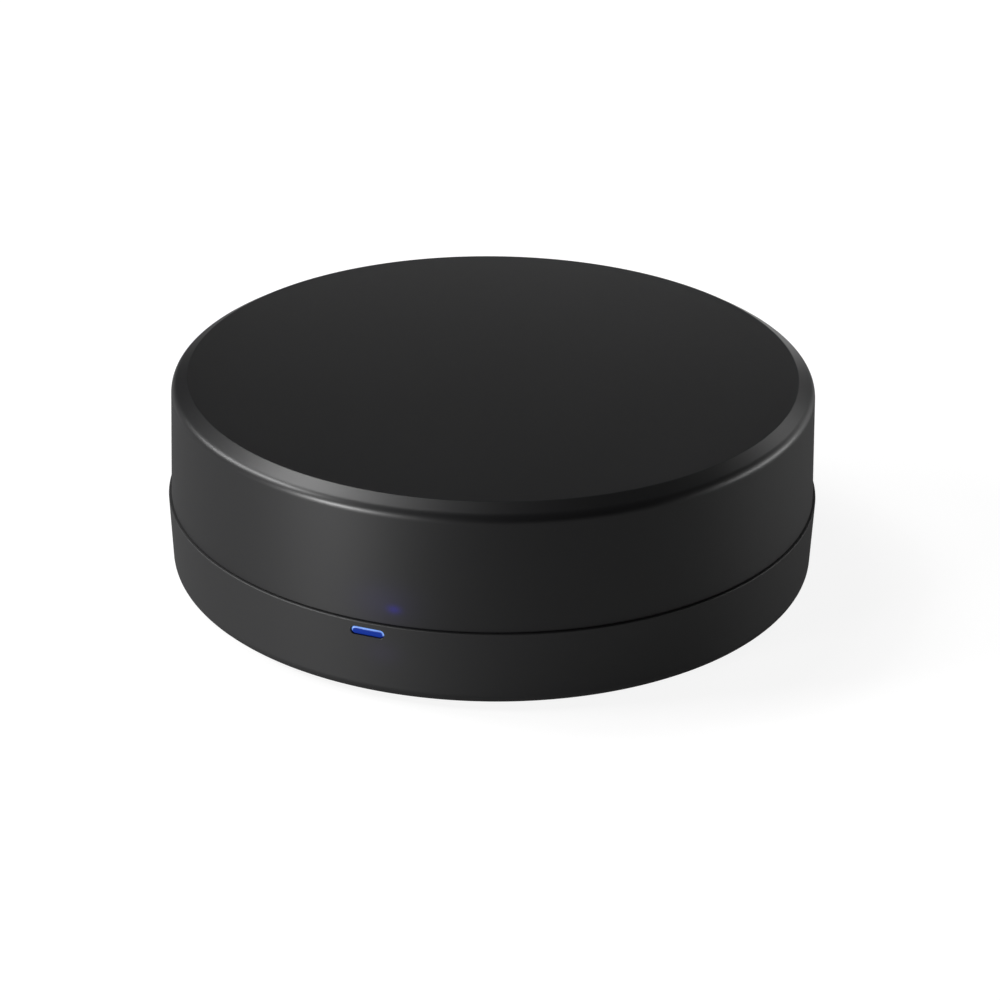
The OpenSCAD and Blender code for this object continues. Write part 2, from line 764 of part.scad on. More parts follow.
module main_board() {
    color([0.05, 0.22, 0.12])
        difference() {
            translate([0, 0, board_z])
                cylinder(r = board_r, h = board_t);
            for (a = screw_angles)
                out_at(a, screw_place_r, board_z - overrun)
                    cylinder(d = screw_d + screw_clear, h = board_t + 2 * overrun);
            out_at(front_angle, board_r - notch_l, board_z - overrun)
                translate([0, -notch_w / 2, 0])
                    cube([notch_l + overrun, notch_w, board_t + 2 * overrun]);
            translate([0, 0, board_z - overrun]) {
                at_leads()
                    cylinder(d = lead_hole_d, h = board_t + 2 * overrun, $fn = 24);
                at_switch_pins()
                    cylinder(d = lead_hole_d, h = board_t + 2 * overrun, $fn = 24);
                for (side = [-1, 1])
                    out_at(button_angle, switch_front_r - frame_leg_w - plunger_clear, 0)
                        translate([0, side * (switch_w + frame_t) / 2 - frame_t / 2 - plunger_clear, 0])
                            cube([frame_leg_w + frame_t + 2 * plunger_clear, frame_t + 2 * plunger_clear,
                                  board_t + 2 * overrun]);
            }
        }
}

module solder_joint() {
    hole_d = lead_w * sqrt(2) + plunger_clear;
    difference() {
        translate([0, 0, board_z - solder_h])
            cylinder(d1 = hole_d + solder_h / 3, d2 = solder_d, h = solder_h, $fn = 32);
        translate([0, 0, board_z - solder_h - overrun])
            cylinder(d = hole_d, h = solder_h + 2 * overrun, $fn = 24);
    }
}

module solder_joints() {
    color([0.7, 0.71, 0.73])
        at_leads()
            solder_joint();
}

// Infrared emitters and receiver

module emitter_lens() {
    lying_cylinder(emitter_flange_d, emitter_flange_t);
    lying_cylinder(emitter_d, emitter_len - emitter_d / 2);
    translate([emitter_len - emitter_d / 2, 0, 0])
        sphere(d = emitter_d);
}

module ir_emitter(i) {
    color([0.55, 0.6, 0.75, 0.6])
        out_at(i * emitter_step, emitter_back_r, emitter_z + emitter_flange_d / 2)
            emitter_lens();
}

module ir_emitter_upright() {
    color([0.55, 0.6, 0.75, 0.6])
        translate([upright_x, 0, emitter_z])
            rotate([0, -90, 0])
                emitter_lens();
}

module emitter_leads() {
    lead_z = emitter_z + emitter_flange_d / 2;
    tail_z = board_z - lead_tail;
    color([0.8, 0.8, 0.82])
        for (side = [-1, 1]) {
            for (i = [0 : emitter_count - 1])
                out_at(i * emitter_step, lead_bend_r, 0)
                    translate([-lead_w / 2, side * lead_pitch / 2 - lead_w / 2, 0]) {
                        translate([0, 0, tail_z])
                            cube([lead_w, lead_w, lead_z - tail_z + lead_w / 2]);
                        translate([0, 0, lead_z - lead_w / 2])
                            cube([lead_run + lead_w / 2, lead_w, lead_w]);
                    }
            translate([upright_x, side * lead_pitch / 2, tail_z])
                block([lead_w, lead_w, emitter_z - tail_z]);
        }
}

module emitter_resistors() {
    color([0.1, 0.1, 0.1])
        for (i = [0 : emitter_count - 1])
            out_at(i * emitter_step, resistor_r, board_top)
                block([resistor_w, resistor_l, resistor_h]);
}

module ir_receiver() {
    color([0.06, 0.06, 0.08])
        out_at(receiver_angle, 0, board_top + receiver_lift) {
            translate([receiver_face_r - receiver_l, -receiver_w / 2, 0])
                cube([receiver_l, receiver_w, receiver_h]);
            translate([receiver_face_r, 0, receiver_h - receiver_w / 2])
                sphere(r = receiver_lens_r);
        }
}

module receiver_leads() {
    color([0.8, 0.8, 0.82])
        at_receiver_leads()
            translate([0, 0, board_z - lead_tail])
                block([lead_w, lead_w, board_top + receiver_lift - board_z + lead_tail]);
}

// Radio module: its antenna end points to the front, its shield end to the rear

module radio_board() {
    pads = floor((radio_l / 2 + shield_gap) / pad_pitch);
    color([0.03, 0.05, 0.12])
        difference() {
            translate([radio_x, 0, board_top])
                block([radio_w, radio_l, radio_t]);
            for (side = [-1, 1], i = [0 : pads])
                translate([radio_x + side * radio_w / 2, radio_l / 2 - shield_gap - pad_d - i * pad_pitch,
                           board_top - overrun])
                    cylinder(d = pad_d, h = radio_t + 2 * overrun, $fn = 24);
        }
}

module radio_shield() {
    color([0.74, 0.74, 0.76])
        translate([radio_x, radio_l / 2 - shield_gap - shield_l / 2, board_top + radio_t])
            rounded_plate(shield_w, shield_l, shield_h, shield_r);
}

module radio_antenna() {
    first_x = radio_x - (antenna_runs - 1) * antenna_pitch / 2;
    low_y = -radio_l / 2 + antenna_w;
    color([0.8, 0.6, 0.25])
        translate([0, 0, board_top + radio_t]) {
            for (i = [0 : antenna_runs - 1])
                translate([first_x + i * antenna_pitch - antenna_w / 2, low_y, 0])
                    cube([antenna_w, antenna_run, antenna_t]);
            for (i = [0 : antenna_runs - 2])
                translate([first_x + i * antenna_pitch - antenna_w / 2,
                           low_y + (i % 2) * (antenna_run - antenna_w), 0])
                    cube([antenna_pitch + antenna_w, antenna_w, antenna_t]);
        }
}

// USB socket, under the board at the rear

// Outline of the socket's sheet, with its bevelled corners next to the board; inset draws it smaller
module usb_outline(inset) {
    half = usb_w / 2 - inset;
    low = -usb_h / 2 + inset;
    high = usb_h / 2 - inset;
    polygon([[-half, low], [half, low], [half, high - usb_bevel], [half - usb_bevel, high],
             [-half + usb_bevel, high], [-half, high - usb_bevel]]);
}

// Extrudes a flat outline along +Y, from y0, about the socket's own middle
module usb_run(y0, l) {
    translate([0, y0 + l, board_z - usb_h / 2])
        rotate([90, 0, 0])
            linear_extrude(height = l)
                children();
}

module usb_shell() {
    color([0.75, 0.75, 0.77])
        difference() {
            union() {
                usb_run(usb_back_y, usb_l)
                    usb_outline(0);
                translate([0, usb_mouth_y, board_z - usb_h / 2])
                    rotate([90, 0, 0])
                        rounded_plate(usb_w + 2 * usb_lip, usb_h, usb_sheet, usb_sheet);
            }
            usb_run(usb_back_y - overrun, usb_l + 2 * overrun)
                usb_outline(usb_sheet);
        }
}

module usb_insert() {
    block_l = usb_l - tongue_l - tongue_back;
    color([0.08, 0.08, 0.08])
        difference() {
            union() {
                usb_run(usb_back_y, block_l)
                    usb_outline(usb_sheet);
                translate([-tongue_w / 2, usb_back_y, contact_z])
                    cube([tongue_w, block_l + tongue_l, tongue_t]);
            }
            at_contacts()
                translate([-contact_w / 2, usb_back_y - overrun, contact_z - contact_t])
                    cube([contact_w, block_l + overrun, contact_t]);
        }
}

// Calls its children once for each contact of the socket
module at_contacts() {
    for (i = [-2 : 2])
        translate([i * contact_pitch, 0, 0])
            children();
}

module usb_contacts() {
    strip_l = usb_l - tongue_back - contact_w;
    color([0.85, 0.68, 0.3])
        at_contacts() {
            translate([-contact_w / 2, usb_back_y - contact_tail, contact_z - contact_t])
                cube([contact_w, strip_l + contact_tail, contact_t]);
            translate([-contact_w / 2, usb_back_y - contact_tail, contact_z - contact_t])
                cube([contact_w, contact_w, board_z - contact_z + contact_t]);
        }
}

// Small components

module status_lamp() {
    color([0.8, 0.85, 0.95])
        out_at(front_angle, lamp_r - lamp_w / 2, board_z - lamp_h)
            block([lamp_w, lamp_l, lamp_h]);
}

module glow_lamp() {
    color([0.5, 0.6, 0.95])
        out_at(glow_lamp_angle, board_r - notch_l - glow_lamp_l, board_top)
            block([glow_lamp_l, glow_lamp_w, glow_lamp_h]);
}

module voltage_regulator() {
    color([0.07, 0.07, 0.07])
        translate([0, regulator_y, board_z - regulator_h])
            block([regulator_l, regulator_w, regulator_h - chip_lead_t]);
}

module regulator_leads() {
    tab_w = regulator_l / 2;
    color([0.76, 0.76, 0.78])
        translate([0, regulator_y, board_z - chip_lead_t]) {
            translate([-tab_w / 2, 0, 0])
                cube([tab_w, regulator_reach, chip_lead_t]);
            for (i = [-1 : 1])
                translate([i * regulator_pitch - regulator_lead_w / 2, -regulator_reach, 0])
                    cube([regulator_lead_w, regulator_w / 4 + 2 * chip_lead_l, chip_lead_t]);
        }
}

// Calls its children at the middle of each driver transistor
module at_transistors() {
    for (i = [-1, 1])
        translate([i * transistor_pitch / 2, transistor_y, 0])
            children();
}

module driver_transistors() {
    color([0.07, 0.07, 0.07])
        at_transistors()
            translate([0, 0, board_z - transistor_h])
                block([transistor_l, transistor_w, transistor_h - chip_lead_t]);
}

module transistor_leads() {
    lead_space = transistor_l / 3;
    color([0.76, 0.76, 0.78])
        at_transistors()
            for (place = [[-1, -1], [1, -1], [0, 1]])
                translate([place[0] * lead_space - chip_lead_t, place[1] * (transistor_w + chip_lead_l) / 2
                           - chip_lead_l / 2 - chip_lead_t, board_z - chip_lead_t])
                    cube([2 * chip_lead_t, chip_lead_l + 2 * chip_lead_t, chip_lead_t]);
}

// Calls its children at the middle of each storage capacitor
module at_cans() {
    for (a = can_angles)
        out_at(a, can_r, board_top)
            children();
}

module capacitor_cans() {
    edge = can_base_t / 2;
    color([0.78, 0.78, 0.8])
        at_cans()
            translate([0, 0, can_base_t])
                rotate_extrude()
                    polygon(outline(
                        [[0, 0], [can_d / 2, 0], [can_d / 2, can_h], [0, can_h]],
                        [0, edge / 2, edge, 0]));
}

module capacitor_bases() {
    color([0.08, 0.08, 0.08])
        at_cans()
            rounded_plate(can_base_w, can_base_w, can_base_t, can_base_t);
}

module ceramic_capacitors() {
    color([0.72, 0.6, 0.42])
        for (i = [0 : ceramic_count - 1])
            translate([(i - (ceramic_count - 1) / 2) * ceramic_pitch, ceramic_y, board_z - ceramic_h])
                block([ceramic_w, ceramic_l, ceramic_h]);
}

top_cover();
base_shell();
foot_ring();
rating_label();
light_pipe();
case_screws();
reset_button();
main_board();
solder_joints();
ir_emitter(0);  // ir_emitter_1
ir_emitter(1);  // ir_emitter_2
ir_emitter(2);  // ir_emitter_3
ir_emitter(3);  // ir_emitter_4
ir_emitter(4);  // ir_emitter_5
ir_emitter(5);  // ir_emitter_6
ir_emitter_upright();
emitter_leads();
emitter_resistors();
ir_receiver();
receiver_leads();
radio_board();
radio_shield();
radio_antenna();
usb_shell();
usb_insert();
usb_contacts();
switch_body();
switch_frame();
switch_pins();
switch_plunger();
status_lamp();
glow_lamp();
voltage_regulator();
regulator_leads();
driver_transistors();
transistor_leads();
capacitor_cans();
capacitor_bases();
ceramic_capacitors();
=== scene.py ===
"""Looks of a round infrared hub: a satin black case with a lit slot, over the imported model.

Sizes are in millimetres and repeat the part's own, apart from the fine edges, the joint line, which is drawn
thinner, and the light pipe's face, which stands further out. Every object is in metres, in the part's frame.
"""
import math

import bmesh
import bpy
from mathutils import Matrix, Vector


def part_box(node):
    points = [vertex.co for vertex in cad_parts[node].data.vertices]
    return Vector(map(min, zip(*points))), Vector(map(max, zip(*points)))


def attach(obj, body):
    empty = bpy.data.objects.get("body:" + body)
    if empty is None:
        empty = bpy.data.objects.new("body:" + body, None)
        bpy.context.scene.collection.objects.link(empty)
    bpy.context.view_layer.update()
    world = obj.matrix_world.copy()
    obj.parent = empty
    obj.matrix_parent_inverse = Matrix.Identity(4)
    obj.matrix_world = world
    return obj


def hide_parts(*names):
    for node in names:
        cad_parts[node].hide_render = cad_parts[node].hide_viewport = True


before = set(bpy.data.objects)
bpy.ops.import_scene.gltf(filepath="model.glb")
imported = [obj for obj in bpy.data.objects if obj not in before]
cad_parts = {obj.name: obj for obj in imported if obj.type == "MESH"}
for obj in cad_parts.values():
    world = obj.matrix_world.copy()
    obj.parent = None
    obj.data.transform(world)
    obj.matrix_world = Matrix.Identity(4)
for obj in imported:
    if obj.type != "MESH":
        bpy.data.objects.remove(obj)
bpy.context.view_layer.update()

MM = 0.001

# Meshes: steps round a turned body and in a rounded corner, and the support points beside that corner
AROUND = 320
ARC_STEPS = 9
SUPPORT = 0.06
SHARP_ANGLE = math.radians(38)
WELD = 0.0005
DOUBLES = 0.0004
SLIVERS = 0.0002
OVERRUN = 0.4
FINE_R = 0.05
SMALL_R = 0.08

# Case
RIM_R = 34.0
BASE_LOW_R = 33.68
COVER_SEAM_R = 33.7
SHOULDER_R = 33.32
TOP_FLAT_R = 31.62
INNER_R = 31.9
LIP_R = 32.8
LIP_CLEAR = 0.1
FOOT_STAND = 0.6
FLOOR_Z = 2.4
SEAM_Z = 8.6
SEAM_GAP = 0.05
LIP_Z = 10.2
TOP_Z = 21.6
CEILING_Z = 19.8
CHAMFER_H = 1.0
CHAMFER_OUTER_R = 1.2
CHAMFER_INNER_R = 0.3
BASE_EDGE_R = 1.2
SEAM_EDGE_R = 0.05
LEDGE_EDGE_R = 0.1
LIP_EDGE_R = 0.1
INNER_EDGE_R = 0.5

# Bosses, posts and rests inside the case
SCREW_ANGLES = (30, 150, 270)
REST_ANGLES = (0, 180, 225, 315)
SCREW_PLACE_R = 24.73
BOSS_D = 5.2
BOSS_RIB_T = 1.0
BOSS_RIB_H = 5.0
BOSS_RIB_IN = 1.4
BOSS_EDGE = 0.15
PILOT_D = 2.04
PILOT_END_Z = 16.2
POST_D = 5.8
REST_L = 2.0
REST_W = 1.6
SCREW_SEAT_Z = 2.6
HEAD_WAY_D = 4.2
SCREW_WAY_D = 2.4
BOARD_Z = 7.6
BOARD_TOP = 9.2

# Foot and label
FOOT_R = 28.48
FOOT_BORE_R = 20.98
FOOT_T = 1.2
FOOT_GROOVE = 0.6
FOOT_CLEAR = 0.15
FOOT_EDGE_R = 0.3
LABEL_R = 18.98
LABEL_GROOVE = 0.35
LABEL_CLEAR = 0.3

# Indicator slot and its light pipe
FRONT_ANGLE = 270
REAR_ANGLE = 90
SLOT_Z = 7.5
SLOT_L = 3.5
SLOT_H = 0.9
SLOT_FLARE = 0.05
PIPE_CLEAR = 0.05
PIPE_FACE_R = 33.85
COLLAR_BACK_R = 31.0
COLLAR_L = 5.0
COLLAR_H = 1.7
COLLAR_T = 0.7
PIPE_BAR_L = 1.6
PIPE_BAR_W = 2.6
PIPE_BAR_TOP = 7.5
PIPE_BAR_H = 0.85
PIPE_CROWN = ((0.2, 0), (0.12, 0.012), (0.05, 0.05), (0.012, 0.12), (0, 0.22))
COLLAR_EDGE_R = 0.2

# Painted glow of the lamp behind the cover
GLOW_ANGLE = 274.5
GLOW_Z = 10.35
HALO_ANGLE = 272.5
HALO_Z = 10.9
CAST_Z = 5.6

# Reset button and the USB port
BUTTON_ANGLE = 68
BUTTON_Z = 5.0
BUTTON_HOLE_R = 1.85
BUTTON_FLARE = 0.15
BUTTON_FACE_R = 34.356
BUTTON_SEAT_R = 31.774
BUTTON_COLLAR_R = 30.974
BUTTON_END_R = 30.274
BUTTON_CAP = 1.7
BUTTON_FLANGE = 2.2
BUTTON_STEM = 1.0
PORT_W = 8.4
PORT_H = 3.0
PORT_Z = 6.3
PORT_EDGE_R = 0.8
PORT_FLARE = 0.2


def wall_at(z):
    """Radius of the base's outer wall at the height z."""
    return BASE_LOW_R + (RIM_R - BASE_LOW_R) * (z - FOOT_STAND) / (SEAM_Z - FOOT_STAND)


def out_at(angle, r, side, z):
    """Point at radius r in the direction angle, moved sideways and up, in metres."""
    c, s = math.cos(math.radians(angle)), math.sin(math.radians(angle))
    return Vector((r * c - side * s, r * s + side * c, z)) * MM


# Meshes

def mesh_object(name, verts, faces, edges=()):
    mesh = bpy.data.meshes.new(name)
    mesh.from_pydata([tuple(v) for v in verts], edges, faces)
    obj = bpy.data.objects.new(name, mesh)
    bpy.context.scene.collection.objects.link(obj)
    return obj


def outline(corners, closed=False):
    """Points of an outline of (r, z, radius) corners, with an arc and two support points at each round one."""
    points = []
    count = len(corners)
    for i, (r, z, radius) in enumerate(corners):
        here = Vector((r, z))
        if radius == 0 or (not closed and i in (0, count - 1)):
            points.append(here)
            continue
        before = Vector(corners[i - 1][:2]) - here
        after = Vector(corners[(i + 1) % count][:2]) - here
        a, b = before.normalized(), after.normalized()
        half = a.angle(b) / 2
        reach = radius / math.tan(half)
        centre = here + (a + b).normalized() * (radius / math.sin(half))
        start, end = here + a * reach - centre, here + b * reach - centre
        turn = start.angle_signed(end)
        points.append(centre + start + a * SUPPORT)
        for k in range(ARC_STEPS + 1):
            spin = Matrix.Rotation(-turn * k / ARC_STEPS, 2)
            points.append(centre + spin @ start)
        points.append(centre + end + b * SUPPORT)
    return points


def turned_tree():
    """Geometry Nodes that turn an outline of points (r, 0, z) about Z."""
    tree = bpy.data.node_groups.new("turned_body", "GeometryNodeTree")
    face = tree.interface
    face.new_socket("Outline", in_out="INPUT", socket_type="NodeSocketGeometry")
    face.new_socket("Steps around", in_out="INPUT", socket_type="NodeSocketInt")
    face.new_socket("Finish", in_out="INPUT", socket_type="NodeSocketMaterial")
    face.new_socket("Body", in_out="OUTPUT", socket_type="NodeSocketGeometry")
    add, link = tree.nodes.new, tree.links.new

    def maths(operation, first, second):
        node = add("ShaderNodeMath")
        node.operation = operation
        for socket, value in zip(node.inputs, (first, second)):
            if isinstance(value, (int, float)):
                socket.default_value = value
            elif value is not None:
                link(value, socket)
        return node.outputs[0]

    given = add("NodeGroupInput")
    size = add("GeometryNodeAttributeDomainSize")
    link(given.outputs["Outline"], size.inputs["Geometry"])
    rows = maths("ADD", given.outputs["Steps around"], 1)
    grid = add("GeometryNodeMeshGrid")
    link(size.outputs["Point Count"], grid.inputs["Vertices X"])
    link(rows, grid.inputs["Vertices Y"])
    index = add("GeometryNodeInputIndex").outputs[0]
    place = maths("FLOOR", maths("DIVIDE", maths("ADD", index, 0.5), rows), None)
    step = maths("SUBTRACT", index, maths("MULTIPLY", place, rows))
    angle = maths("MULTIPLY", maths("DIVIDE", step, given.outputs["Steps around"]), 2 * math.pi)
    pick = add("GeometryNodeSampleIndex")
    pick.data_type = "FLOAT_VECTOR"
    link(given.outputs["Outline"], pick.inputs["Geometry"])
    link(add("GeometryNodeInputPosition").outputs[0], pick.inputs["Value"])
    link(place, pick.inputs["Index"])
    split = add("ShaderNodeSeparateXYZ")
    link(pick.outputs["Value"], split.inputs[0])
    join = add("ShaderNodeCombineXYZ")
    link(maths("MULTIPLY", split.outputs["X"], maths("COSINE", angle, None)), join.inputs["X"])
    link(maths("MULTIPLY", split.outputs["X"], maths("SINE", angle, None)), join.inputs["Y"])
    link(split.outputs["Z"], join.inputs["Z"])
    move = add("GeometryNodeSetPosition")
    link(grid.outputs["Mesh"], move.inputs["Geometry"])
    link(join.outputs[0], move.inputs["Position"])
    weld = add("GeometryNodeMergeByDistance")
    weld.inputs["Distance"].default_value = WELD * MM
    link(move.outputs[0], weld.inputs["Geometry"])
    real = add("GeometryNodeRealizeInstances")
    link(weld.outputs[0], real.inputs["Geometry"])
    paint = add("GeometryNodeSetMaterial")
    link(real.outputs[0], paint.inputs["Geometry"])
    link(given.outputs["Finish"], paint.inputs["Material"])
    link(paint.outputs[0], add("NodeGroupOutput").inputs["Body"])
    return tree


TURNED = turned_tree()


def baked(obj):
    """Plain mesh of obj with its modifiers applied and removed, under the same name."""
    graph = bpy.context.evaluated_depsgraph_get()
    graph.update()
    mesh = bpy.data.meshes.new_from_object(obj.evaluated_get(graph))
    obj.modifiers.clear()
    obj.data = mesh
    return obj


def turned(name, points, finish, closed=False, steps=AROUND):
    """Body of an outline turned about Z by the turned_body nodes."""
    rows = list(points) + ([points[0]] if closed else [])
    line = [(p[0] * MM, 0, p[1] * MM) for p in rows]
    obj = mesh_object(name, line, [], [(i, i + 1) for i in range(len(line) - 1)])
    nodes = obj.modifiers.new("turned", "NODES")
    nodes.node_group = TURNED
    for item in TURNED.interface.items_tree:
        if item.name == "Steps around" and item.in_out == "INPUT":
            nodes[item.identifier] = steps
        if item.name == "Finish" and item.in_out == "INPUT":
            nodes[item.identifier] = finish
    return baked(obj)


def loft(name, rings):
    """Closed body through rings of equally many points, with a flat cap at either end."""
    n = len(rings[0])
    verts = [p for ring in rings for p in ring]
    faces = [tuple(range(n)), tuple(reversed(range(len(verts) - n, len(verts))))]
    for k in range(len(rings) - 1):
        for i in range(n):
            j = (i + 1) % n
            faces.append((k * n + i, (k + 1) * n + i, (k + 1) * n + j, k * n + j))
    return mesh_object(name, verts, faces)


def joined(name, objs):
    """One object of several, which must not touch each other when they are cutters."""
    mesh = bmesh.new()
    for obj in objs:
        mesh.from_mesh(obj.data)
        bpy.data.objects.remove(obj)
    out = mesh_object(name, [], [])
    mesh.to_mesh(out.data)
    mesh.free()
    return out


def tidy_mesh(obj):
    """Doubles merged, faces outward, smooth shading with sharp edges at steep angles."""
    mesh = bmesh.new()
    mesh.from_mesh(obj.data)
    bmesh.ops.remove_doubles(mesh, verts=mesh.verts, dist=DOUBLES * MM)
    bmesh.ops.dissolve_degenerate(mesh, edges=mesh.edges, dist=SLIVERS * MM)
    bmesh.ops.recalc_face_normals(mesh, faces=mesh.faces)
    for f in mesh.faces:
        f.smooth = True
    for e in mesh.edges:
        e.smooth = len(e.link_faces) == 2 and e.calc_face_angle(0) < SHARP_ANGLE
    mesh.to_mesh(obj.data)
    mesh.free()
    return obj


def wall_shading(obj, low, high):
    """Shades the turned wall between the points (r, z) low and high as one clean cone around all that is cut out.

    A corner is the wall's where it lies within 0.02 mm of the cone and its face is within 10 degrees of it.
    """
    (r0, z0), (r1, z1) = low, high
    slope = (r1 - r0) / (z1 - z0)
    mesh = obj.data
    normals = [Vector(n.vector) for n in mesh.corner_normals]
    for face in mesh.polygons:
        for k in face.loop_indices:
            at = mesh.vertices[mesh.loops[k].vertex_index].co / MM
            r = math.hypot(at.x, at.y)
            on_wall = z0 <= at.z <= z1 and abs(r - r0 - slope * (at.z - z0)) < 0.02
            radial = Vector((at.x, at.y, -slope * r)).normalized() if on_wall else None
            if on_wall and face.normal.dot(radial) > 0.985:
                normals[k] = radial
    mesh.normals_split_custom_set(normals)


def combine(obj, other, operation):
    """obj with other joined to it or cut out of it."""
    for part in (obj, other):
        tidy_mesh(part)
    step = obj.modifiers.new("combine", "BOOLEAN")
    step.operation = operation
    step.solver = "EXACT"
    step.object = other
    baked(obj)
    bpy.data.objects.remove(other)
    return obj


def bar_ring(angle, r, length, height, z, bend=0.0, steps=14):
    """Ring of a bar with round ends, standing across the direction angle at radius r."""
    ring = []
    end = height / 2
    for side in (1, -1):
        for k in range(steps + 1):
            t = math.radians(-90 + 180 * k / steps) if side > 0 else math.radians(90 + 180 * k / steps)
            across = side * (length / 2 - end) + end * math.cos(t)
            ring.append(out_at(angle, r - bend * across * across, across, z + end * math.sin(t)))
    return ring


def plate_ring(angle, r, length, height, z, radius, steps=6):
    """Ring of a plate with rounded corners, standing across the direction angle at radius r."""
    ring = []
    for k, (sx, sz) in enumerate(((1, -1), (1, 1), (-1, 1), (-1, -1))):
        for i in range(steps + 1):
            t = math.radians(-90 + 90 * k + 90 * i / steps)
            across = sx * (length / 2 - radius) + radius * math.cos(t)
            ring.append(out_at(angle, r, across, z + sz * (height / 2 - radius) + radius * math.sin(t)))
    return ring


def round_ring(angle, r, radius, z, steps=72):
    """Ring of a round bar along the direction angle."""
    turns = [2 * math.pi * i / steps for i in range(steps)]
    return [out_at(angle, r, radius * math.cos(t), z + radius * math.sin(t)) for t in turns]


def flat_ring(angle, r, radius, z, steps=64):
    """Ring of an upright bar whose axis stands at radius r in the direction angle."""
    turns = [2 * math.pi * i / steps for i in range(steps)]
    return [out_at(angle, r + radius * math.cos(t), radius * math.sin(t), z) for t in turns]


def upright(name, angle, r, sections):
    """Upright round body through (radius, z) sections."""
    return loft(name, [flat_ring(angle, r, radius, z) for radius, z in sections])


def block(name, angle, width, inner, outer, heights):
    """Plain block between two radii and two heights, standing along the direction angle."""
    corners = ((-width / 2, inner), (width / 2, inner), (width / 2, outer), (-width / 2, outer))
    return loft(name, [[out_at(angle, r, side, z) for side, r in corners] for z in heights])


# Finishes

def shader_group(name, inputs, outputs):
    """Empty shader node group with named sockets, and its input and output nodes."""
    tree = bpy.data.node_groups.new(name, "ShaderNodeTree")
    kinds = {"float": "NodeSocketFloat", "colour": "NodeSocketColor", "vector": "NodeSocketVector"}
    for label, kind in inputs:
        tree.interface.new_socket(label, in_out="INPUT", socket_type=kinds[kind])
    for label, kind in outputs:
        tree.interface.new_socket(label, in_out="OUTPUT", socket_type=kinds[kind])
    return tree, tree.nodes.new("NodeGroupInput"), tree.nodes.new("NodeGroupOutput")


class Wires:
    """Short calls for the nodes that the finishes share."""

    def __init__(self, tree):
        self.tree = tree

    def add(self, kind, **values):
        node = self.tree.nodes.new(kind)
        for key, value in values.items():
            setattr(node, key, value)
        return node

    def put(self, socket, value):
        if isinstance(value, bpy.types.NodeSocket):
            self.tree.links.new(value, socket)
        elif value is not None:
            socket.default_value = value

    def maths(self, operation, *values):
        node = self.add("ShaderNodeMath", operation=operation)
        for socket, value in zip(node.inputs, values):
            self.put(socket, value)
        return node.outputs[0]

    def vector(self, operation, *values, out="Vector"):
        node = self.add("ShaderNodeVectorMath", operation=operation)
        for socket, value in zip(node.inputs, values):
            self.put(socket, value)
        return node.outputs[out]

    def scaled(self, vector, amount):
        node = self.add("ShaderNodeVectorMath", operation="SCALE")
        self.put(node.inputs[0], vector)
        self.put(node.inputs["Scale"], amount)
        return node.outputs["Vector"]

    def place(self):
        return self.add("ShaderNodeTexCoord").outputs["Object"]

    def noise(self, vector, scale, detail=2.0, roughness=0.5):
        node = self.add("ShaderNodeTexNoise")
        for key, value in (("Vector", vector), ("Scale", scale), ("Detail", detail), ("Roughness", roughness)):
            self.put(node.inputs[key], value)
        return node.outputs["Fac"]

    def span(self, value, low, high):
        """value from 0..1 to low..high"""
        node = self.add("ShaderNodeMapRange")
        self.put(node.inputs["Value"], value)
        self.put(node.inputs["To Min"], low)
        self.put(node.inputs["To Max"], high)
        return node.outputs["Result"]

    def ramp(self, value, start, end, low=0.0, high=1.0):
        """low up to start, high from end on, and a smooth step between them"""
        node = self.add("ShaderNodeMapRange", interpolation_type="SMOOTHSTEP")
        sockets = {"Value": value, "From Min": start, "From Max": end, "To Min": low, "To Max": high}
        for key, given in sockets.items():
            self.put(node.inputs[key], given)
        return node.outputs["Result"]

    def place_parts(self):
        """X, Y and Z of the object's own coordinates"""
        node = self.add("ShaderNodeSeparateXYZ")
        self.put(node.inputs[0], self.place())
        return node.outputs

    def mix(self, amount, first, second):
        node = self.add("ShaderNodeMix", data_type="RGBA", blend_type="MIX")
        self.put(node.inputs["Factor"], amount)
        self.put(node.inputs[6], first)
        self.put(node.inputs[7], second)
        return node.outputs[2]


def moulded_grain():
    """Spark-eroded texture of a moulded part: fine grain, faint flow shading and uneven gloss."""
    tree, given, result = shader_group(
        "moulded_grain",
        [("Colour", "colour"), ("Shade spread", "float"), ("Grain size", "float"), ("Roughness", "float"),
         ("Gloss spread", "float")],
        [("Colour", "colour"), ("Roughness", "float"), ("Height", "float")])
    w = Wires(tree)
    place = w.place()
    fine = w.noise(place, w.maths("DIVIDE", 1.0, given.outputs["Grain size"]), 3.0, 0.6)
    broad = w.noise(place, 70.0, 3.0, 0.5)
    spread = given.outputs["Shade spread"]
    mottled = w.maths("ADD", w.maths("MULTIPLY", fine, 0.4), w.maths("MULTIPLY", broad, 0.6))
    tone = w.maths("ADD", 1.0, w.maths("MULTIPLY", w.maths("SUBTRACT", mottled, 0.5), spread))
    w.put(result.inputs["Colour"], w.scaled(given.outputs["Colour"], tone))
    gloss = w.maths("MULTIPLY", w.maths("SUBTRACT", mottled, 0.5), given.outputs["Gloss spread"])
    w.put(result.inputs["Roughness"], w.maths("ADD", given.outputs["Roughness"], gloss))
    w.put(result.inputs["Height"], fine)
    return tree


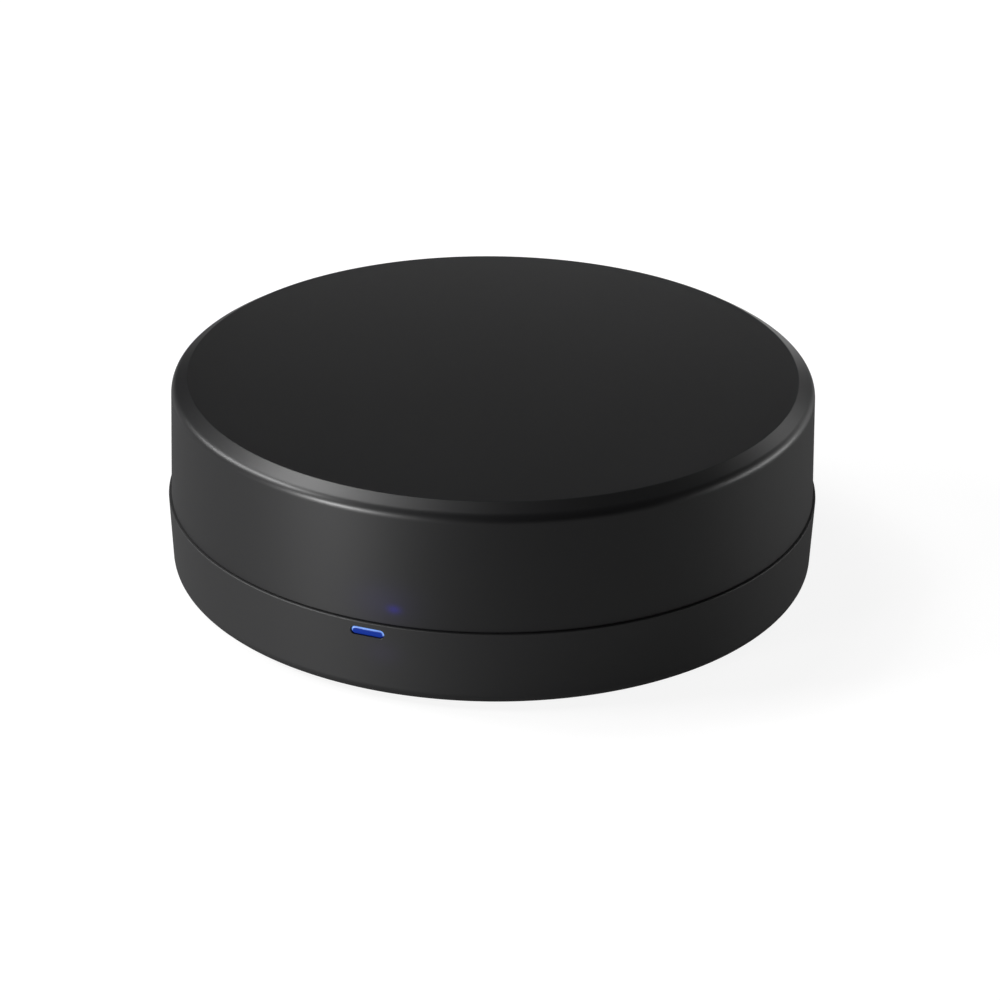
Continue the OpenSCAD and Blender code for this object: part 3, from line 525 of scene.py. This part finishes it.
def rolled_metal():
    """Rolled or drawn metal: streaks along one direction, uneven gloss and a little tarnish."""
    tree, given, result = shader_group(
        "rolled_metal",
        [("Colour", "colour"), ("Tarnish", "float"), ("Streaks", "vector"), ("Roughness", "float"),
         ("Gloss spread", "float")],
        [("Colour", "colour"), ("Roughness", "float"), ("Height", "float")])
    w = Wires(tree)
    place = w.place()
    streak = w.noise(w.vector("MULTIPLY", place, given.outputs["Streaks"]), 1.0, 3.0, 0.6)
    cloud = w.noise(place, 600.0, 4.0, 0.6)
    tone = w.maths("SUBTRACT", 1.0, w.maths("MULTIPLY", cloud, given.outputs["Tarnish"]))
    w.put(result.inputs["Colour"], w.scaled(given.outputs["Colour"], tone))
    gloss = w.maths("MULTIPLY", w.maths("SUBTRACT", streak, 0.5), given.outputs["Gloss spread"])
    w.put(result.inputs["Roughness"], w.maths("ADD", given.outputs["Roughness"], gloss))
    w.put(result.inputs["Height"], streak)
    return tree


def board_mask():
    """Solder mask over copper: tracks and pads that show as a paler tone and a slight step."""
    tree, given, result = shader_group(
        "board_mask",
        [("Bare colour", "colour"), ("Track colour", "colour"), ("Track pitch", "float"), ("Roughness", "float")],
        [("Colour", "colour"), ("Roughness", "float"), ("Height", "float")])
    w = Wires(tree)
    place = w.place()
    cells = w.add("ShaderNodeTexVoronoi", feature="DISTANCE_TO_EDGE")
    w.put(cells.inputs["Vector"], place)
    w.put(cells.inputs["Scale"], w.maths("DIVIDE", 0.25, given.outputs["Track pitch"]))
    w.put(cells.inputs["Randomness"], 0.35)
    waves = w.maths("PINGPONG", w.maths("DIVIDE", cells.outputs["Distance"], 0.12), 1.0)
    track = w.maths("GREATER_THAN", waves, 0.55)
    weave = w.noise(place, 2200.0, 2.0, 0.5)
    shown = w.maths("MULTIPLY", track, 0.8)
    w.put(result.inputs["Colour"], w.mix(shown, given.outputs["Bare colour"], given.outputs["Track colour"]))
    w.put(result.inputs["Roughness"], w.maths("ADD", given.outputs["Roughness"], w.span(weave, -0.04, 0.04)))
    w.put(result.inputs["Height"], w.maths("ADD", track, w.maths("MULTIPLY", weave, 0.2)))
    return tree


GRAIN = moulded_grain()
METAL = rolled_metal()
BOARD = board_mask()


def plain_material(name):
    """New material, its wires and its shader."""
    mat = bpy.data.materials.new(name)
    mat.use_nodes = True
    return mat, Wires(mat.node_tree), next(n for n in mat.node_tree.nodes if n.type == "BSDF_PRINCIPLED")


def finish(name, group, settings, bump, bump_depth, metallic=0.0, level=0.5, **sockets):
    """Material with the given group's colour, roughness and height, and constants on the shader's own sockets."""
    mat, w, shader = plain_material(name)
    node = w.add("ShaderNodeGroup", node_tree=group)
    for key, value in settings.items():
        w.put(node.inputs[key], value)
    w.put(shader.inputs["Base Color"], node.outputs["Colour"])
    w.put(shader.inputs["Roughness"], node.outputs["Roughness"])
    relief = w.add("ShaderNodeBump")
    relief.inputs["Strength"].default_value = bump
    relief.inputs["Distance"].default_value = bump_depth * MM
    w.put(relief.inputs["Height"], node.outputs["Height"])
    w.put(shader.inputs["Normal"], relief.outputs["Normal"])
    shader.inputs["Metallic"].default_value = metallic
    shader.inputs["Specular IOR Level"].default_value = level
    for key, value in sockets.items():
        shader.inputs[key.replace("_", " ").title()].default_value = value
    return mat, w, shader


def moulded(name, colour, roughness, level=0.5, grain=0.14, spread=0.3, gloss=0.06, bump=0.25, depth=0.004,
            **sockets):
    settings = {"Colour": (*colour, 1), "Shade spread": spread, "Grain size": grain * MM,
                "Roughness": roughness, "Gloss spread": gloss}
    return finish(name, GRAIN, settings, bump, depth, 0.0, level, **sockets)


def metal(name, colour, roughness, streaks=(400, 400, 9000), tarnish=0.15, gloss=0.1, bump=0.15, depth=0.002):
    settings = {"Colour": (*colour, 1), "Tarnish": tarnish, "Streaks": streaks,
                "Roughness": roughness, "Gloss spread": gloss}
    return finish(name, METAL, settings, bump, depth, 1.0)


def duller_edge(w, shader, amount):
    """The fine texture of a wall takes its shine away where it is seen at a low angle."""
    facing = w.add("ShaderNodeLayerWeight")
    facing.inputs["Blend"].default_value = 0.5
    even = shader.inputs["Roughness"].links[0].from_socket
    dull = w.maths("MULTIPLY", w.maths("POWER", facing.outputs["Facing"], 2.0), amount)
    w.put(shader.inputs["Roughness"], w.maths("MINIMUM", w.maths("ADD", even, dull), 1.0))


def lit(w, shader, colour):
    """The shader gives off light of the given colour, which may be a socket."""
    w.put(shader.inputs["Emission Color"], colour)
    shader.inputs["Emission Strength"].default_value = 1.0


def soft_spot(w, centre, reach):
    """1 at centre, falling off as a bell with the given reach along X, Y and Z, in millimetres."""
    away = w.vector("SUBTRACT", w.place(), tuple(centre))
    shares = w.vector("MULTIPLY", away, tuple(1 / (r * MM) for r in reach))
    return w.maths("EXPONENT", w.maths("MULTIPLY", w.vector("DOT_PRODUCT", shares, shares, out="Value"), -1.0))


# The side wall is finely textured, and the chamfer and the top are smoother
BLACK = (0.0035, 0.0035, 0.004)
TOP_GLOSS, WALL_GLOSS, BASE_GLOSS, GRAZING_GLOSS = 0.38, 0.43, 0.53, 0.3
TEXTURE_END_Z, TOP_START_Z = 19.95, 20.4
COVER, w, shader = moulded("cover_plastic", BLACK, TOP_GLOSS, spread=0.5)
texture = w.ramp(w.place_parts()["Z"], TEXTURE_END_Z * MM, TOP_START_Z * MM, WALL_GLOSS - TOP_GLOSS, 0.0)
even = shader.inputs["Roughness"].links[0].from_socket
w.put(shader.inputs["Roughness"], w.maths("ADD", even, texture))
duller_edge(w, shader, w.maths("MULTIPLY", texture, GRAZING_GLOSS / (WALL_GLOSS - TOP_GLOSS)))

# Painted blue light of the lamp behind the cover, given off by the plastic itself: a small core, a wide halo
# and a painted pool of it on the base
CORE_COLOUR, CORE_REACH = (0.002, 0.0, 0.1), (0.65, 1.5, 0.42)
HALO_COLOUR, HALO_REACH = (0.004, 0.0025, 0.017), (3.0, 4.0, 2.0)
PAINTED_CAST_COLOUR, CAST_REACH = (0.003, 0.0015, 0.009), (1.8, 3.0, 1.3)
core = soft_spot(w, out_at(GLOW_ANGLE, COVER_SEAM_R, 0, GLOW_Z), CORE_REACH)
halo = soft_spot(w, out_at(HALO_ANGLE, COVER_SEAM_R, 0, HALO_Z), HALO_REACH)
lit(w, shader, w.vector("ADD", w.scaled(CORE_COLOUR, core), w.scaled(HALO_COLOUR, halo)))

BASE, w, shader = moulded("base_plastic", BLACK, BASE_GLOSS, 0.55, spread=0.5)
duller_edge(w, shader, GRAZING_GLOSS)
# The base plastic gives off a painted pool of the lamp's blue light below the seam
painted_cast = soft_spot(w, out_at(HALO_ANGLE, RIM_R, 0, CAST_Z), CAST_REACH)
lit(w, shader, w.scaled(PAINTED_CAST_COLOUR, painted_cast))

BUTTON = moulded("button_plastic", (0.006, 0.006, 0.006), 0.6, 0.3, grain=0.1)[0]
RUBBER = moulded("foot_rubber", (0.012, 0.012, 0.012), 0.85, 0.3, grain=0.3, spread=0.5, bump=0.4, depth=0.01)[0]
LABEL = moulded("label_film", (0.42, 0.42, 0.44), 0.42, 0.4, grain=0.08, spread=0.06, bump=0.1, depth=0.002)[0]
CHIP = moulded("chip_black", (0.015, 0.015, 0.016), 0.55, 0.5, grain=0.05, spread=0.5, depth=0.003)[0]
EPOXY = moulded("receiver_epoxy", (0.01, 0.01, 0.012), 0.18, 0.5, grain=0.6, spread=0.3, bump=0.1)[0]
INSULATOR = moulded("socket_insulator", (0.012, 0.012, 0.012), 0.5, 0.5, grain=0.06)[0]
PLUNGER = moulded("plunger_plastic", (0.62, 0.56, 0.42), 0.5, 0.5, grain=0.08, spread=0.15)[0]
CERAMIC = moulded("ceramic_tan", (0.42, 0.28, 0.15), 0.6, 0.5, grain=0.05, spread=0.5)[0]
RESIN = moulded("lamp_resin", (0.6, 0.68, 0.85), 0.2, 0.5, grain=0.3, spread=0.1, bump=0.1)[0]
CLEAR = moulded("emitter_clear", (0.5, 0.56, 0.75), 0.08, 0.5, grain=1.2, spread=0.08, gloss=0.03, bump=0.08,
                transmission_weight=0.8)[0]

SCREW = metal("screw_steel", (0.5, 0.5, 0.52), 0.35, (3000, 3000, 3000))[0]
SOLDER = metal("solder", (0.6, 0.61, 0.63), 0.25, (1500, 1500, 1500), gloss=0.2, depth=0.01)[0]
TINNED = metal("tinned_lead", (0.62, 0.62, 0.64), 0.3, (4000, 4000, 600))[0]
SHIELD = metal("shield_steel", (0.55, 0.55, 0.56), 0.38, (300, 9000, 300))[0]
SOCKET = metal("socket_steel", (0.58, 0.58, 0.6), 0.3, (9000, 500, 9000))[0]
GOLD = metal("gold_contact", (0.8, 0.55, 0.2), 0.28, (6000, 600, 6000), tarnish=0.08)[0]
CAN = metal("can_aluminium", (0.6, 0.6, 0.62), 0.35, (300, 300, 7000))[0]


def circuit_board(name, bare, track, pitch):
    settings = {"Bare colour": (*bare, 1), "Track colour": (*track, 1), "Track pitch": pitch * MM, "Roughness": 0.3}
    return finish(name, BOARD, settings, 0.3, 0.02)[0]


GREEN = circuit_board("board_green", (0.006, 0.06, 0.026), (0.014, 0.12, 0.05), 0.5)
BLUE = circuit_board("board_blue", (0.006, 0.014, 0.07), (0.012, 0.03, 0.13), 0.35)

# The pipe glows dark blue below, and pale along its upper edge and round ends, where the lamp's light leaves it
# and a painted highlight is added. In halves of its height, rise is the way up from its middle line, beyond the way
# past the start of a round end, and rim is 1 at its outline.
PIPE_DARK, PIPE_PALE_HIGHLIGHT = (0.0, 0.006, 0.11, 1), (0.24, 0.42, 0.9, 1)
PIPE_RIPPLE = 0.15
PIPE, w, shader = moulded("light_pipe_clear", (0.002, 0.02, 0.16), 0.25, 0.3, grain=0.2, spread=0.2, bump=0.05)
parts = w.place_parts()
half = SLOT_H / 2 - PIPE_CLEAR
rise = w.maths("DIVIDE", w.maths("SUBTRACT", parts["Z"], SLOT_Z * MM), half * MM)
along = w.maths("ABSOLUTE", w.maths("DIVIDE", parts["X"], half * MM))
beyond = w.maths("MAXIMUM", w.maths("SUBTRACT", along, (SLOT_L / 2 - SLOT_H / 2) / half), 0.0)
rim = w.maths("SQRT", w.maths("ADD", w.maths("MULTIPLY", beyond, beyond), w.maths("MULTIPLY", rise, rise)))
ripple = w.span(w.noise(w.place(), 1400.0, 1.0), -PIPE_RIPPLE, PIPE_RIPPLE)
# Painted highlight along the pipe's outline, strongest at its upper edge and round ends
highlight_band = w.ramp(w.maths("ADD", rim, ripple), 0.4, 0.85)
lift = w.ramp(w.maths("ADD", rise, w.maths("MULTIPLY", beyond, 0.9)), 0.1, 0.8)
lit(w, shader, w.mix(w.maths("MULTIPLY", highlight_band, lift), PIPE_DARK, PIPE_PALE_HIGHLIGHT))

FINISHES = {
    "rating_label": LABEL, "case_screws": SCREW, "main_board": GREEN, "solder_joints": SOLDER,
    "ir_emitter_1": CLEAR, "ir_emitter_2": CLEAR, "ir_emitter_3": CLEAR, "ir_emitter_4": CLEAR,
    "ir_emitter_5": CLEAR, "ir_emitter_6": CLEAR, "ir_emitter_upright": CLEAR, "emitter_leads": TINNED,
    "emitter_resistors": CHIP, "ir_receiver": EPOXY, "receiver_leads": TINNED, "radio_board": BLUE,
    "radio_shield": SHIELD, "radio_antenna": GOLD, "usb_shell": SOCKET, "usb_insert": INSULATOR,
    "usb_contacts": GOLD, "switch_body": CHIP, "switch_frame": SOCKET, "switch_pins": TINNED,
    "switch_plunger": PLUNGER, "status_lamp": RESIN, "glow_lamp": RESIN, "voltage_regulator": CHIP,
    "regulator_leads": TINNED, "driver_transistors": CHIP, "transistor_leads": TINNED,
    "capacitor_cans": CAN, "capacitor_bases": CHIP, "ceramic_capacitors": CERAMIC,
}
for node, mat in FINISHES.items():
    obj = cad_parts[node]
    obj.data.materials.clear()
    obj.data.materials.append(mat)


def settle(obj, mat, body, slot, *nodes, wall=None):
    """obj gets its finish, rides on its body and stands for its nodes; wall is a cone of it to shade cleanly."""
    tidy_mesh(obj)
    if wall:
        wall_shading(obj, *wall)
    obj.data.materials.clear()
    obj.data.materials.append(mat)
    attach(obj, body)
    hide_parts(*nodes)


# Cover

cover = turned("cover", outline([
    (0, TOP_Z, 0), (TOP_FLAT_R, TOP_Z, CHAMFER_INNER_R), (SHOULDER_R, TOP_Z - CHAMFER_H, CHAMFER_OUTER_R),
    (COVER_SEAM_R, SEAM_Z + SEAM_GAP, SEAM_EDGE_R), (LIP_R + LIP_CLEAR, SEAM_Z + SEAM_GAP, FINE_R),
    (LIP_R + LIP_CLEAR, LIP_Z, FINE_R), (INNER_R, LIP_Z, LIP_EDGE_R), (INNER_R, CEILING_Z, INNER_EDGE_R),
    (0, CEILING_Z, 0)]), COVER)
boss = [(BOSS_D / 2 - BOSS_EDGE, BOARD_TOP), (BOSS_D / 2, BOARD_TOP + BOSS_EDGE),
        (BOSS_D / 2, CEILING_Z + OVERRUN)]
bosses = [upright("boss", angle, SCREW_PLACE_R, boss) for angle in SCREW_ANGLES]
cover = combine(cover, joined("bosses", bosses), "UNION")
ribs = [block("rib", angle, BOSS_RIB_T, SCREW_PLACE_R + BOSS_RIB_IN, INNER_R + OVERRUN,
              (CEILING_Z - BOSS_RIB_H, CEILING_Z + OVERRUN)) for angle in SCREW_ANGLES]
cover = combine(cover, joined("ribs", ribs), "UNION")
pilot = [(PILOT_D / 2, BOARD_TOP - OVERRUN), (PILOT_D / 2, PILOT_END_Z)]
pilots = [upright("pilot", angle, SCREW_PLACE_R, pilot) for angle in SCREW_ANGLES]
cover = combine(cover, joined("pilots", pilots), "DIFFERENCE")
settle(cover, COVER, "case", "cover_plastic", "top_cover")

# Base

base = turned("base", outline([
    (0, FOOT_STAND + LABEL_GROOVE, 0), (LABEL_R + LABEL_CLEAR, FOOT_STAND + LABEL_GROOVE, FINE_R),
    (LABEL_R + LABEL_CLEAR, FOOT_STAND, SMALL_R), (FOOT_BORE_R - FOOT_CLEAR, FOOT_STAND, SMALL_R),
    (FOOT_BORE_R - FOOT_CLEAR, FOOT_STAND + FOOT_GROOVE, FINE_R),
    (FOOT_R + FOOT_CLEAR, FOOT_STAND + FOOT_GROOVE, FINE_R), (FOOT_R + FOOT_CLEAR, FOOT_STAND, SMALL_R),
    (BASE_LOW_R, FOOT_STAND, BASE_EDGE_R), (RIM_R, SEAM_Z, LEDGE_EDGE_R), (LIP_R, SEAM_Z, FINE_R),
    (LIP_R, LIP_Z, SEAM_EDGE_R), (INNER_R, LIP_Z, LIP_EDGE_R), (INNER_R, FLOOR_Z, INNER_EDGE_R),
    (0, FLOOR_Z, 0)]), BASE)
stands = [upright("post", angle, SCREW_PLACE_R, [(POST_D / 2, FLOOR_Z - OVERRUN), (POST_D / 2, BOARD_Z)])
          for angle in SCREW_ANGLES]
stands += [block("rest", angle, REST_W, INNER_R - REST_L, INNER_R + OVERRUN, (FLOOR_Z - OVERRUN, BOARD_Z))
           for angle in REST_ANGLES]
base = combine(base, joined("stands", stands), "UNION")
cutters = [upright("screw_way", angle, SCREW_PLACE_R, [
    (HEAD_WAY_D / 2, FOOT_STAND - OVERRUN), (HEAD_WAY_D / 2, SCREW_SEAT_Z), (SCREW_WAY_D / 2, SCREW_SEAT_Z),
    (SCREW_WAY_D / 2, BOARD_Z + OVERRUN)]) for angle in SCREW_ANGLES]

# Each opening widens a little where it meets the wall, in rings of (radius, growth)
at = wall_at(SLOT_Z)
slot_bend = 1 / (2 * at)
cutters.append(loft("slot_way", [
    bar_ring(FRONT_ANGLE, r, SLOT_L + 2 * grow, SLOT_H + 2 * grow, SLOT_Z, slot_bend) for r, grow in (
        (INNER_R - OVERRUN, 0), (at - SLOT_FLARE, 0), (at - SLOT_FLARE * 0.45, 0.03), (at, SLOT_FLARE),
        (at + 0.5, SLOT_FLARE + 0.5))]))
at = wall_at(BUTTON_Z)
cutters.append(loft("button_way", [round_ring(BUTTON_ANGLE, r, BUTTON_HOLE_R + grow, BUTTON_Z) for r, grow in (
    (INNER_R - OVERRUN, 0), (at - BUTTON_FLARE, 0), (at - BUTTON_FLARE * 0.4, 0.05),
    (at + 0.05, BUTTON_FLARE + 0.05), (at + 0.5, BUTTON_FLARE + 0.5))]))
at = wall_at(PORT_Z)
cutters.append(loft("port_way", [
    plate_ring(REAR_ANGLE, r, PORT_W + 2 * grow, PORT_H + 2 * grow, PORT_Z, PORT_EDGE_R + grow) for r, grow in (
        (INNER_R - 1.8, 0), (at - PORT_FLARE, 0), (at - PORT_FLARE * 0.4, 0.06), (at, PORT_FLARE),
        (at + 0.4, PORT_FLARE + 0.4))]))
base = combine(base, joined("cutters", cutters), "DIFFERENCE")
settle(base, BASE, "case", "base_plastic", "base_shell",
       wall=((BASE_LOW_R + 0.05, FOOT_STAND + 1.25), (RIM_R, SEAM_Z - LEDGE_EDGE_R)))

# Foot ring

foot = turned("foot", outline([
    (FOOT_BORE_R, 0, FOOT_EDGE_R), (FOOT_R, 0, FOOT_EDGE_R), (FOOT_R, FOOT_T, FINE_R),
    (FOOT_BORE_R, FOOT_T, FINE_R)],
    closed=True), RUBBER, closed=True, steps=192)
settle(foot, RUBBER, "case", "foot_rubber", "foot_ring")

# Light pipe

pipe_l, pipe_h = SLOT_L - 2 * PIPE_CLEAR, SLOT_H - 2 * PIPE_CLEAR
collar_mid = COLLAR_BACK_R + COLLAR_T / 2
crown = [(collar_mid, 0)] + [(PIPE_FACE_R - back, less) for back, less in PIPE_CROWN]
head = loft("pipe_head", [bar_ring(FRONT_ANGLE, r, pipe_l - 2 * less, pipe_h - 2 * less, SLOT_Z)
                          for r, less in crown])
collar = loft("pipe_collar", [
    plate_ring(FRONT_ANGLE, r, COLLAR_L - 2 * less, COLLAR_H - 2 * less, SLOT_Z, COLLAR_EDGE_R - less)
    for r, less in ((COLLAR_BACK_R, SMALL_R), (COLLAR_BACK_R + SMALL_R, 0),
                    (COLLAR_BACK_R + COLLAR_T - SMALL_R, 0), (COLLAR_BACK_R + COLLAR_T, SMALL_R))])
bar = loft("pipe_bar", [plate_ring(FRONT_ANGLE, r, PIPE_BAR_W, PIPE_BAR_H, PIPE_BAR_TOP - PIPE_BAR_H / 2, 0.1)
                        for r in (COLLAR_BACK_R - PIPE_BAR_L, collar_mid)])
pipe = combine(combine(head, collar, "UNION"), bar, "UNION")
pipe.name = "indicator_pipe"
settle(pipe, PIPE, "case", "light_pipe_clear", "light_pipe")

# Reset button, turned about Z and laid along its own direction

low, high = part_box("reset_button")
button = turned("reset_cap", outline([
    (0, BUTTON_END_R, 0), (BUTTON_STEM, BUTTON_END_R, 0.1), (BUTTON_STEM, BUTTON_COLLAR_R, FINE_R),
    (BUTTON_FLANGE, BUTTON_COLLAR_R, SMALL_R), (BUTTON_FLANGE, BUTTON_SEAT_R, SMALL_R),
    (BUTTON_CAP, BUTTON_SEAT_R, FINE_R), (BUTTON_CAP, BUTTON_FACE_R, 0.4), (0.8, BUTTON_FACE_R - 0.06, 0.5),
    (0, BUTTON_FACE_R - 0.1, 0)]), BUTTON, steps=96)
turn = Matrix.Rotation(math.radians(BUTTON_ANGLE), 4, "Z") @ Matrix.Rotation(math.radians(90), 4, "Y")
button.data.transform(Matrix.Translation((0, 0, BUTTON_Z * MM)) @ turn)
settle(button, BUTTON, "button", "button_plastic", "reset_button")

# Floor, light and camera

# The floor lies a hair below the rubber foot, so that the two faces never share a place. It glows white to the
# camera, and only faintly in reflections, because the case was photographed with little light from below.
FLOOR_DROP = -0.02 * MM
FLOOR_TONE = 0.22
FLOOR_GLOW = 0.88
FLOOR_MIRRORED = 0.15
ROOM_LEVEL = 0.025
floor_mat, w, shader = plain_material("pale_floor")
shader.inputs["Base Color"].default_value = (FLOOR_TONE, FLOOR_TONE, FLOOR_TONE, 1)
shader.inputs["Roughness"].default_value = 0.9
shader.inputs["Specular IOR Level"].default_value = 0.0
shader.inputs["Emission Color"].default_value = (1, 1, 1, 1)
path = w.add("ShaderNodeLightPath").outputs
mirrored = w.maths("MULTIPLY", path["Is Glossy Ray"], FLOOR_MIRRORED)
seen = w.maths("MAXIMUM", w.maths("MAXIMUM", path["Is Camera Ray"], mirrored), path["Is Transmission Ray"])
w.put(shader.inputs["Emission Strength"], w.maths("MULTIPLY", seen, FLOOR_GLOW))
floor = mesh_object("floor", [(-3, -3, FLOOR_DROP), (3, -3, FLOOR_DROP), (3, 3, FLOOR_DROP), (-3, 3, FLOOR_DROP)],
                    [(0, 1, 2, 3)])
floor.data.materials.append(floor_mat)

world = bpy.data.worlds.new("plain_room")
bpy.context.scene.world = world
world.use_nodes = True
world.node_tree.nodes["Background"].inputs["Color"].default_value = (1, 1, 1, 1)
world.node_tree.nodes["Background"].inputs["Strength"].default_value = ROOM_LEVEL

# Camera, fitted to the case's outline in the photograph. CENTRE_PX is where the middle of the case's underside
# stands in a picture of PICTURE_PX by PICTURE_PX.
PICTURE_PX = 1000
SENSOR_MM = 36
ELEVATION = math.radians(26.923)
AZIMUTH = math.radians(20.6)
ROLL = math.radians(-0.5592)
DISTANCE = 9.6644 * RIM_R
FOCAL_PX = 3078.0
CENTRE_PX = (492.2, 548.6)
CASE_BOTTOM = Vector((0, 0, FOOT_STAND * MM))
CASE_MIDDLE = Vector((0, 0, 10 * MM))


def toward(az, el):
    """Direction from the object, az degrees to the right of the camera's side and el degrees up."""
    a = AZIMUTH + math.radians(az)
    return Vector((math.sin(a) * math.cos(math.radians(el)), -math.cos(a) * math.cos(math.radians(el)),
                   math.sin(math.radians(el))))


def softbox(name, az, el, distance, width, height, level):
    """Area lamp that gives the hub an irradiance of level, aimed at the hub's middle."""
    lamp = bpy.data.lights.new(name, "AREA")
    lamp.shape = "RECTANGLE"
    lamp.size, lamp.size_y = width, height
    lamp.energy = level * math.pi * distance ** 2
    obj = bpy.data.objects.new(name, lamp)
    bpy.context.scene.collection.objects.link(obj)
    away = toward(az, el) * distance
    aim = away.to_track_quat("Z", "Y").to_matrix().to_4x4()
    obj.matrix_world = Matrix.Translation(CASE_MIDDLE + away) @ aim


# Name, degrees round and up, then distance, width and height in metres, and level. Their light follows the
# photograph's, which is strongest from the left and weaker from the right.
softbox("left_softbox", -111, 55, 0.8, 0.26, 0.18, 0.88)
softbox("middle_left_softbox", -84, 34, 0.8, 0.22, 0.12, 1.5)
softbox("low_left_softbox", -52, 3, 0.8, 0.16, 0.06, 3.0)
softbox("side_left_strip", -107, 24, 0.8, 0.18, 0.08, 0.8)
softbox("high_rear_softbox", -128, 64, 0.8, 0.25, 0.25, 0.6)
softbox("right_strip", 116, 8, 0.3, 0.24, 0.16, 0.38)
softbox("rear_right_softbox", 140, 31, 0.8, 0.24, 0.16, 0.19)
softbox("low_right_strip", 100, 0, 0.4, 0.26, 0.1, 1.1)
softbox("rear_strip", 175, 6, 0.2, 0.16, 0.04, 0.32)


def swung(first, second, angle):
    """The two directions turned by angle in their own plane, first towards second."""
    c, s = math.cos(angle), math.sin(angle)
    return first * c + second * s, second * c - first * s


right = Vector((math.cos(AZIMUTH), math.sin(AZIMUTH), 0))
forward = -toward(0, math.degrees(ELEVATION))
up = right.cross(forward)
right, forward = swung(right, forward, math.atan((CENTRE_PX[0] - PICTURE_PX / 2) / FOCAL_PX))
up, forward = swung(up, forward, math.atan((PICTURE_PX / 2 - CENTRE_PX[1]) / FOCAL_PX))
up, right = swung(up, right, ROLL)
spot = CASE_BOTTOM + toward(0, math.degrees(ELEVATION)) * DISTANCE * MM
lens = bpy.data.cameras.new("camera")
lens.sensor_width = SENSOR_MM
lens.lens = FOCAL_PX * SENSOR_MM / PICTURE_PX
camera = bpy.data.objects.new("camera", lens)
bpy.context.scene.collection.objects.link(camera)
camera.matrix_world = Matrix.Translation(spot) @ Matrix((right, up, -forward)).transposed().to_4x4()
bpy.context.scene.camera = camera
bpy.context.scene.view_settings.view_transform = "Standard"
